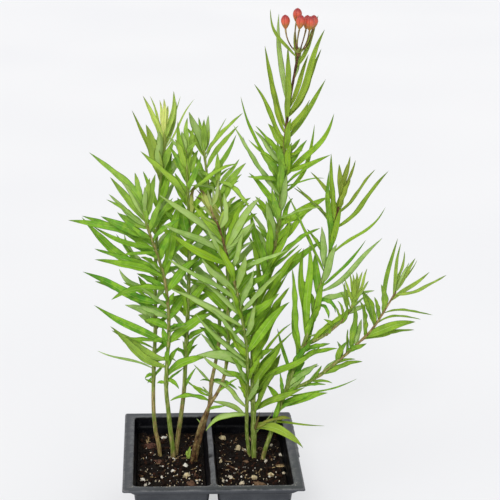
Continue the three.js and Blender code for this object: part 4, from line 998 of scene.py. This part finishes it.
grow_shoot(
    "flowering_shoot", seed=32, girth=(2.1, 0.8), tints=(0.3, 1), undersides=0.12,
    youth=[(270, 0), (330, 0.1)],
    flush=[(41, 0.5), (58, 0.2), (150, 0.15), (230, 0.35), (285, 0.35), (312, 0.5), (325, 0.9), (369, 1)],
    dull=[(60, 0.35), (95, 0.25), (120, 0), (285, 0), (312, 0.35)],
    stem=[
        (33.7, 41.5, 10.8), (33.4, 55, 11), (33, 75, 11.5), (32.2, 95, 12.5), (31.5, 115, 14),
        (31, 135, 15.5), (31, 155, 17), (33, 175, 18), (37, 195, 19), (42, 212, 19.5), (46, 228, 20),
        (48.3, 245, 20), (49.5, 265, 19), (50.5, 285, 18), (51, 308, 17), (52.3, 325, 16), (54.5, 342, 15),
        (56.8, 358, 14), (58.5, 369, 13),
    ],
    leaves=[
        (68, 48, 91, 8, 3, 0), (70, 37.5, 90, -6, 6, 0), (74, 72, 58, -17, 10, 7.5), (76, 62, 83.5, -9, 8),
        (79, 88.5, 77, 15, 2.5), (88, 50, 124, -16, 9, 1), (90, 72, 110, -18, 7, 1), (96, 20, 120, 16, 8),
        (104, 54, 150, -12, 9, 1), (104, 52.5, 138, 6, 11, -3), (106, 42, 126, 16),
        (110, 63, 158, 10, 4, 5), (113, 84, 145, -12, 7, -2), (116, 38, 168, -6, 8, 1),
        (120, 18, 146, 18, 8), (128, 47, 142, -20, 8), (130, 44, 160, -14, 8, 0), (135, 52, 172, 20, 8),
        (140, 12, 168, 26, 8), (144, 44, 174, 4, 8, 0), (150, 57.5, 192, -10, 9, -1), (152, 20, 178, 16, 8),
        (156, 10, 190, 24), (162, 63, 214, -8, 9), (166, 42, 196, -14, 8, 0), (170, 66, 223, -14, 8, 0),
        (172, 22, 202, 18, 8), (178, 14, 214, 20, 8), (182, 44, 212, -16, 8, 0), (186, 82, 229, 14, 8),
        (188, 26, 232, -12, 8), (188, 50, 214, 12), (196, 57, 249, -8, 6, -2), (198, 36, 228, -14, 8, 0),
        (200, 27, 252, 8, 7, 0), (206, 79, 238.5, -12, 8), (208, 30, 240, 12), (212, 56, 244, 10),
        (214, 40, 246, -14, 8, 0), (224, 26.5, 251, 10, 7, 1), (226, 31, 241, -10, 5, 0),
        (228, 38, 260, -12, 8, 0), (234, 58, 262, 12, 6), (240, 84, 262.5, 12, 8, 1),
        (240, 42, 270, -14, 8, 0), (244, 34, 272, 8, 7, 0), (246, 79, 254.5, -30, 4),
        (250, 53, 280, -14, 7, 0), (254, 25, 281, 4, 6, 0), (256, 44, 286, 12, 8, 0),
        (262, 13, 317, -4, 6, 0), (264, 72, 318, 12, 4, -10), (264, 47, 292, -16, 8, 0),
        (268, 18, 338, 8, 4.5, -3), (270, 81, 277, -10, 2, 1), (272, 33, 296, -14, 9, 1),
        (274, 45, 304, -14, 9, 0), (276, 56, 304, -12, 7, 0), (276, 86, 326, 10, 6, -5),
        (280, 67, 306, -8, 7, 0), (281, 85, 295, 6, 4.5, -1), (283, 29, 316.5, -6, 5.5),
        (284, 24, 306, 10, 3, 0), (286, 64, 298, -12, 6), (286, 46, 312, 12, 7, 0), (288, 35, 310, 6, 6, 1),
        (293, 62, 307, -10, 4, 0), (296, 43, 315, 10, 6), (298, 55, 322, -12, 6, 0),
        (303, 27.5, 347, 4, 5.5, 0), (304, 79, 351, 6, 5.5, -2), (306, 68, 336, -12, 4.5, 0),
        (310, 37, 356, -8, 6, -2), (314, 34.5, 375, 6, 6, -3), (318, 51, 374, -14, 7, 0),
        (322, 75, 373, 8, 6, -4), (324, 77, 387, -8, 7, -2), (328, 66, 369, 12, 5, -1),
        (330, 44, 398, 8, 5, -3), (350, 61, 376, 8, 4, -1), (358, 72, 397, 6, 4.5, -3),
        (360, 56, 388, 10, 4, 0), (366, 38, 401, -9, 3, -5),
    ],
    small=[
        (238, 30, 263, 4, 7, 0), (222, 58, 243, -6, 6, 2), (225, 72, 254, 4, 6, 0),
        (268, 83, 294, -6, 3.5, 2), (300, 38, 318, 4, 6, 0), (287, 28, 313, 6, 5, 0),
        (290, 62, 307, 4, 4, 0), (284, 66, 304, -4, 4, 0), (203, 64, 226, -8, 5, -1),
        (140, 52, 183, -4, 9, 0), (155, 56, 203, -6, 5, -1), (118, 50, 142, 4, 8, 0),
        (275, 24, 278, -4, 5, 0), (262, 20, 309, 8, 3, -2), (130, 60, 163, -8, 4, 0),
        (100, 45, 122, -5, 6, 0), (236, 28, 260, -8, 5, 1),
    ],
)
grow_shoot(
    "right_shoot", seed=33, girth=(1.8, 0.9), tints=(0, 0.7), undersides=0.2, youth=[(240, 0), (262, 0.2)],
    flush=[(41, 0.55), (60, 0.3), (150, 0.2), (198, 0.35), (216, 0.8), (264, 0.9)],
    dull=[(200, 0), (260, 0.55)],
    stem=[
        (39.5, 41, 10), (41.5, 54, 10), (46, 70, 11), (49, 82, 12), (52.5, 93, 13), (56.5, 105, 14),
        (60, 117, 15), (64.5, 131, 16), (69, 144, 17), (73, 157, 18), (76.5, 172, 19), (79.5, 187, 20),
        (82, 198, 21), (84.7, 208, 22), (87, 220, 23), (88.7, 232, 24), (90.5, 245, 25), (92.5, 256, 26),
        (94, 264, 26),
    ],
    leaves=[
        (86, 66, 98, -8, 6), (92, 89.5, 105, -8, 8), (94, 42, 112, 10, 6), (100, 52, 123, -11, 4, 0),
        (102, 112, 117, 14, 2.5, -3), (108, 61, 129, 6, 4, 0), (110, 81, 129.5, -6, 9),
        (112, 71, 131, 8, 8, 1), (118, 49, 159, 13, 4, 0), (122, 76, 150, -12), (128, 96, 142, -14, 7, 3),
        (132, 60, 168, -8, 6, 0), (138, 78, 168, 12, 7, 0), (140, 59, 207, -8, 8, -3),
        (150, 67, 223, 6, 8, -2), (152, 118, 188, -1, 5, -4), (158, 71, 226, -8, 7, -1),
        (166, 84, 198, -12, 7, 0), (168, 66, 200, 12), (178, 88, 166, -10, 5, 4), (180, 93, 171, -6, 5, 5),
        (181, 122, 189, 6, 8), (184, 76, 220, 12, 7, 0), (188, 126, 231, -8, 5, -3),
        (191, 113.5, 229.5, 8, 4, -3), (194, 92, 226, -12, 7, 0), (203, 54.5, 264, -8, 5, -1),
        (206, 80, 240, -12, 7, 0), (214, 84, 283, -10, 7, 0), (216, 127, 255, 6, 3.2, -3),
        (222, 94, 256, -10, 6, 0), (224, 85, 296, 4, 6, 1), (236, 60, 271, -4, 5),
        (238, 128, 283, 6, 5.5, -3), (240, 94, 272, 8, 6, 0), (250, 118, 284, -6, 5, -2),
        (252, 70, 282, 4, 4), (254, 100, 276, -8, 7, -1), (257, 97, 281, 6, 5), (259, 91, 288, -4, 6, 1),
        (260, 99, 294, 4, 5, 0), (261, 103, 291, 6, 4, -2), (262, 93, 276, -6, 5, 0),
    ],
    small=[
        (212, 69, 238, -4, 6, 0), (243, 58, 270, -6, 3.5, 0), (143, 98, 166, 6, 6, -1),
        (138, 90, 146, -4, 6, 1), (105, 73, 124, -4, 5, -1), (95, 80, 106, -6, 6, 0),
        (108, 88, 112, -8, 6, 1), (80, 52, 101, -5, 5, 0), (255, 97, 288, 6, 4, -1),
        (160, 82, 178, -8, 6, 1), (152, 76, 170, -4, 6, 0), (118, 82, 128, -4, 5, 0),
        (100, 66, 110, -8, 6, 1),
    ],
)
grow_shoot(
    "right_side_branch", seed=34, girth=(1.3, 0.6), tints=(0, 0.3), youth=[(165, 0), (188, 0.25)],
    flush=[(105, 0.2), (122, 0.3), (137, 0.5), (188, 0.62)], dull=[(0, 0.25)],
    stem=[
        (56.5, 105, 14), (63, 108.5, 12.5), (70, 112, 11), (77, 116, 9.5), (85, 121.5, 8), (93, 129, 6.5),
        (100, 135, 5), (107, 141.5, 4), (112, 147, 3), (117, 152, 2), (124, 161.5, 1), (129, 170.5, 0),
        (134, 180, -1), (138, 188, -2),
    ],
    leaves=[
        (114, 84, 128, -6, 6, 0), (121, 115.5, 131, -6, 6, 1), (121, 100, 137, 8, 6),
        (131, 103.5, 148.5, -6, 6, -2), (131, 95, 148, 6, 5, 3), (137, 118, 146, -8, 6, 1),
        (141, 107, 177, -8, 8, 0), (144, 113, 166, 8, 6, 0), (151, 111, 181, 3, 8, 1),
        (151, 154.5, 163.5, -8, 8.5), (151.5, 154, 157, 8, 5, 0), (161, 114.5, 187, -4, 7, 1),
        (161.5, 158.5, 165.5, 6, 3, 5), (165, 122, 184, 8, 6, 0), (170, 126.5, 194, -6),
        (170.5, 167.5, 169, 4, 3, 3), (173, 137.5, 231, 6, 4.5, -3), (180, 163, 204, 4, 4, 0),
        (184, 140, 227, -6, 4, -1), (186, 176, 201.5, -6, 5, -4), (187, 143, 220.5, 6, 3.5, 0),
        (187.5, 147, 211.5, -4, 3.5, 0), (188, 151.5, 215, 2, 4, -1), (188, 153, 213.5, 8, 2, -3),
    ],
    small=[
        (160, 112, 191, 4, 6, 0), (149.5, 141, 157, 4, 7, 1), (128, 110, 133, -4, 4, 1),
        (137, 103, 158, -6, 4, 0), (115, 93, 113, -4, 3, 1),
    ],
)
grow_shoot(
    "right_small_branch", seed=35, girth=(1.1, 0.6), tints=(0.4, 1), undersides=0.2,
    youth=[(160, 0), (185, 0.3)], flush=[(144, 0.35), (187, 0.5)], dull=[(144, 0.1)],
    stem=[
        (69, 144, 17), (75, 147.5, 15), (84, 152, 12), (93, 159.5, 9), (101, 168, 7), (105.5, 177, 6),
        (108, 187, 6),
    ],
    leaves=[
        (148, 107, 176, -12, 6, -2), (152, 88, 160, -6, 5), (158, 84, 166, -6, 4), (162, 102, 176, -8, 6),
        (164, 92, 178, 8, 3.5, 0), (166, 94, 181, 6, 3.5, 1), (170, 118, 178, 6, 5),
        (172, 96, 188, -5, 3.5, 0), (174, 97, 196, 4, 3, 0), (174, 112, 190, -6, 4.5, 0),
        (176, 100, 190, 6, 3), (178, 98, 200, -4, 3, 0), (180, 117, 197, -14, 5, -2),
        (181, 104.5, 203, 2, 3.5, 0), (182, 102, 204, 4, 3, 0), (183, 107.5, 204, -4, 3.5, 1),
        (184, 112, 204.5, 4, 3.5, -1), (185, 115.5, 207, 2, 3, -2),
    ],
    small=[
        (150, 95, 163, 6, 6, 0), (170, 99, 196, -4, 4, -1), (176, 108, 201, -4, 4, 0),
    ],
)


# Flower buds: unopened coral-red eggs, each on its own thin maroon stalk. The stalks spring from one
# point at the top of the tallest shoot, which six tiny green leaves clasp.
# Each bud's row is where its foot is drawn and its depth, and its stalk's heading and lean in degrees.
UMBEL = place(58.5, 369, 13)
UMBEL_RADII = (1.7, 1.7, 2.1)
UMBEL_REACH = 2.4
BRACTS = 6
BRACT_TURN = 0.3
BRACT_RISE = 0.9
BRACT_RADII = (3.25, 0.7, 0.35)
BUDS = [
    ((49, 386.5, 14), 180, 48),
    ((56.5, 391.5, 19), 118, 34),
    ((58.8, 386.5, 8), 250, 36),
    ((63.5, 386.5, 23), 66, 58),
    ((66, 385.5, 9), 318, 46),
    ((68.4, 386.5, 15), 12, 54),
]
STALK_RADIUS = 0.48
STALK_FLARE = (0.5, 6)
STALK_FLUSH = (0.8, 0.55)
STALK_STEPS = 12
STALK_SIDES = 8
BUD_LENGTH = 11
BUD_RADIUS = 3.4
BUD_SIDES = 20
BUD_RINGS = 14
BUD_LOBES = 5
EGG_SHAPE = (1.3, 0.62)
SEAM_DEPTH = 0.07
petal = Finish("petal", Roughness=0.45, Specular_IOR_Level=0.35, Subsurface_Weight=0.1,
               Subsurface_Radius=(0.003, 0.001, 0.0006))
rise = petal.mark("along")
blush = petal.cloud(3, detail=3.0)
warm = (rise + 0.3 * (blush - 0.5)).ease(0.12, 0.62).paint(rgb(0.30, 0.19, 0.02), rgb(0.56, 0.085, 0.05))
rosy = (0.6 * blush.ease(0.4, 0.7)).paint(warm, rgb(0.68, 0.15, 0.075))
topped = (0.9 * rise.ease(0.55, 0.95)).paint(rosy, rgb(0.27, 0.022, 0.028))
seams = petal.mark("seam").ease(0.7, 1)
petal.feed(
    Base_Color=(0.55 * seams).paint(topped, rgb(0.26, 0.03, 0.02)),
    Normal=petal.relief(blush - 0.6 * seams, 0.3),
)
umbel = Shell("flush", "youth")
lump(umbel, UMBEL, UMBEL_RADII, (0, 0, 0), wander=0.2, sides=12, rings=8, flush=0.7, youth=0.4)
for number in range(BRACTS):
    heading = TURN * (number + BRACT_TURN) / BRACTS
    way = Vector((math.cos(heading), math.sin(heading), BRACT_RISE)).normalized()
    lump(umbel, UMBEL + way * BRACT_RADII[0], BRACT_RADII, way.to_track_quat("X", "Z").to_euler(), wander=0.1,
         sides=10, rings=8, flush=0.2, youth=0.5)
show(umbel, "umbel", ["flowering_shoot"], [stem_skin])

UPWARD = Vector((0, 0, 1))
for number, (foot, heading, lean) in enumerate(BUDS):
    bud = Shell("along", "seam", "flush", "youth")
    out = Euler((0, math.radians(lean), math.radians(heading))).to_matrix() @ UPWARD
    start = UMBEL + out * (UMBEL_REACH + GAP)
    end = place(*foot)
    bend = start + out * (end - start).length / 2
    stalk = []
    for step in range(STALK_STEPS + 1):
        share = step / STALK_STEPS
        middle, forward = bow(start, bend, end, share)
        across = forward.orthogonal().normalized()
        radius = STALK_RADIUS * (1 + STALK_FLARE[0] * share ** STALK_FLARE[1])
        points = circle(middle, radius, STALK_SIDES, across, forward.cross(across))
        stalk.append(bud.ring(points, flush=STALK_FLUSH[0] * (1 - share) + STALK_FLUSH[1] * share))
    start_dot, end_dot = bud.dot(start, flush=STALK_FLUSH[0]), bud.dot(end, flush=STALK_FLUSH[1])
    bud.spindle(start_dot, stalk, end_dot, finish=1)
    stand = UPWARD.rotation_difference((end - bend).normalized() + UPWARD).to_matrix()
    eggs = []
    for ring in range(1, BUD_RINGS):
        share = ring / BUD_RINGS
        swell = math.sin(math.pi * share ** EGG_SHAPE[0]) ** EGG_SHAPE[1]
        seam = [(1 - math.cos(TURN * BUD_LOBES * side / BUD_SIDES)) / 2 for side in range(BUD_SIDES)]
        around = circle(Vector((0, 0, 0)), BUD_RADIUS * swell, BUD_SIDES)
        middle = Vector((0, 0, BUD_LENGTH * share - GAP))
        points = [end + stand @ (middle + spot * (1 - SEAM_DEPTH * dent)) for spot, dent in zip(around, seam)]
        eggs.append(bud.ring(points, along=share, seam=seam))
    bud.spindle(bud.dot(end - stand @ UPWARD * GAP), eggs,
                bud.dot(end + stand @ UPWARD * (BUD_LENGTH - GAP), along=1.0))
    show(bud, f"bud_{number + 1}", [f"flower_bud_{number + 1}"], [petal, stem_skin])


# Stage: a floor of pale paper that glows a little, even light from a white room, and two soft suns, each
# with the way it shines, its spread in degrees and its power. The camera stands at VIEWPOINT, tilted down,
# turned and rolled a little, with its focal length and the side of its frame in pixels.
FLOOR_REACH = 6
ROOM_COLOUR = (0.985, 0.985, 1, 1)
ROOM_LIGHT = 0.88
SUNS = [("key", (0.2, 0.9, -0.6), 12, 1.4), ("fill", (0.6, 0.6, -1), 30, 0.4)]
PITCH = math.radians(18.83)
YAW = math.radians(3.91)
ROLL = math.radians(1.23)
FOCAL = 1504
FRAME_SIDE = 500
SENSOR = 36
floor_mesh = bpy.data.meshes.new("floor")
corners = [FLOOR_REACH * Vector(corner) for corner in ((-1, -1, 0), (1, -1, 0), (1, 1, 0), (-1, 1, 0))]
floor_mesh.from_pydata(corners, [], [(0, 1, 2, 3)])
paper = Finish("paper", Roughness=0.8, Specular_IOR_Level=0.2, Emission_Strength=0.55)
wide_cloud = paper.cloud(400, detail=1.0)
paper.feed(
    Base_Color=wide_cloud.paint(rgb(0.28, 0.28, 0.285), rgb(0.32, 0.32, 0.325)),
    Emission_Color=wide_cloud.paint(rgb(0.96, 0.97, 1), rgb(1, 1, 1)),
)
floor_mesh.materials.append(paper.material)
floor = put("floor", floor_mesh)

world = bpy.data.worlds.new("white_room")
world.use_nodes = True
world.node_tree.nodes["Background"].inputs["Color"].default_value = ROOM_COLOUR
world.node_tree.nodes["Background"].inputs["Strength"].default_value = ROOM_LIGHT
bpy.context.scene.world = world
for name, way, spread, power in SUNS:
    sun = bpy.data.lights.new(name, "SUN")
    sun.angle = math.radians(spread)
    sun.energy = power
    put(name, sun).rotation_euler = Vector(way).to_track_quat("-Z", "Y").to_euler()

lens = bpy.data.cameras.new("camera")
lens.lens = SENSOR * FOCAL / FRAME_SIDE
lens.sensor_width = SENSOR
camera = put("camera", lens)
tilt = Matrix.Rotation(TURN / 4 - PITCH, 4, "X") @ Matrix.Rotation(ROLL, 4, "Z")
standpoint = Matrix.Translation(VIEWPOINT * MM + PACK_MIDDLE)
camera.matrix_world = standpoint @ Matrix.Rotation(-YAW, 4, "Z") @ tilt
bpy.context.scene.camera = camera
bpy.context.scene.view_settings.view_transform = "Standard"
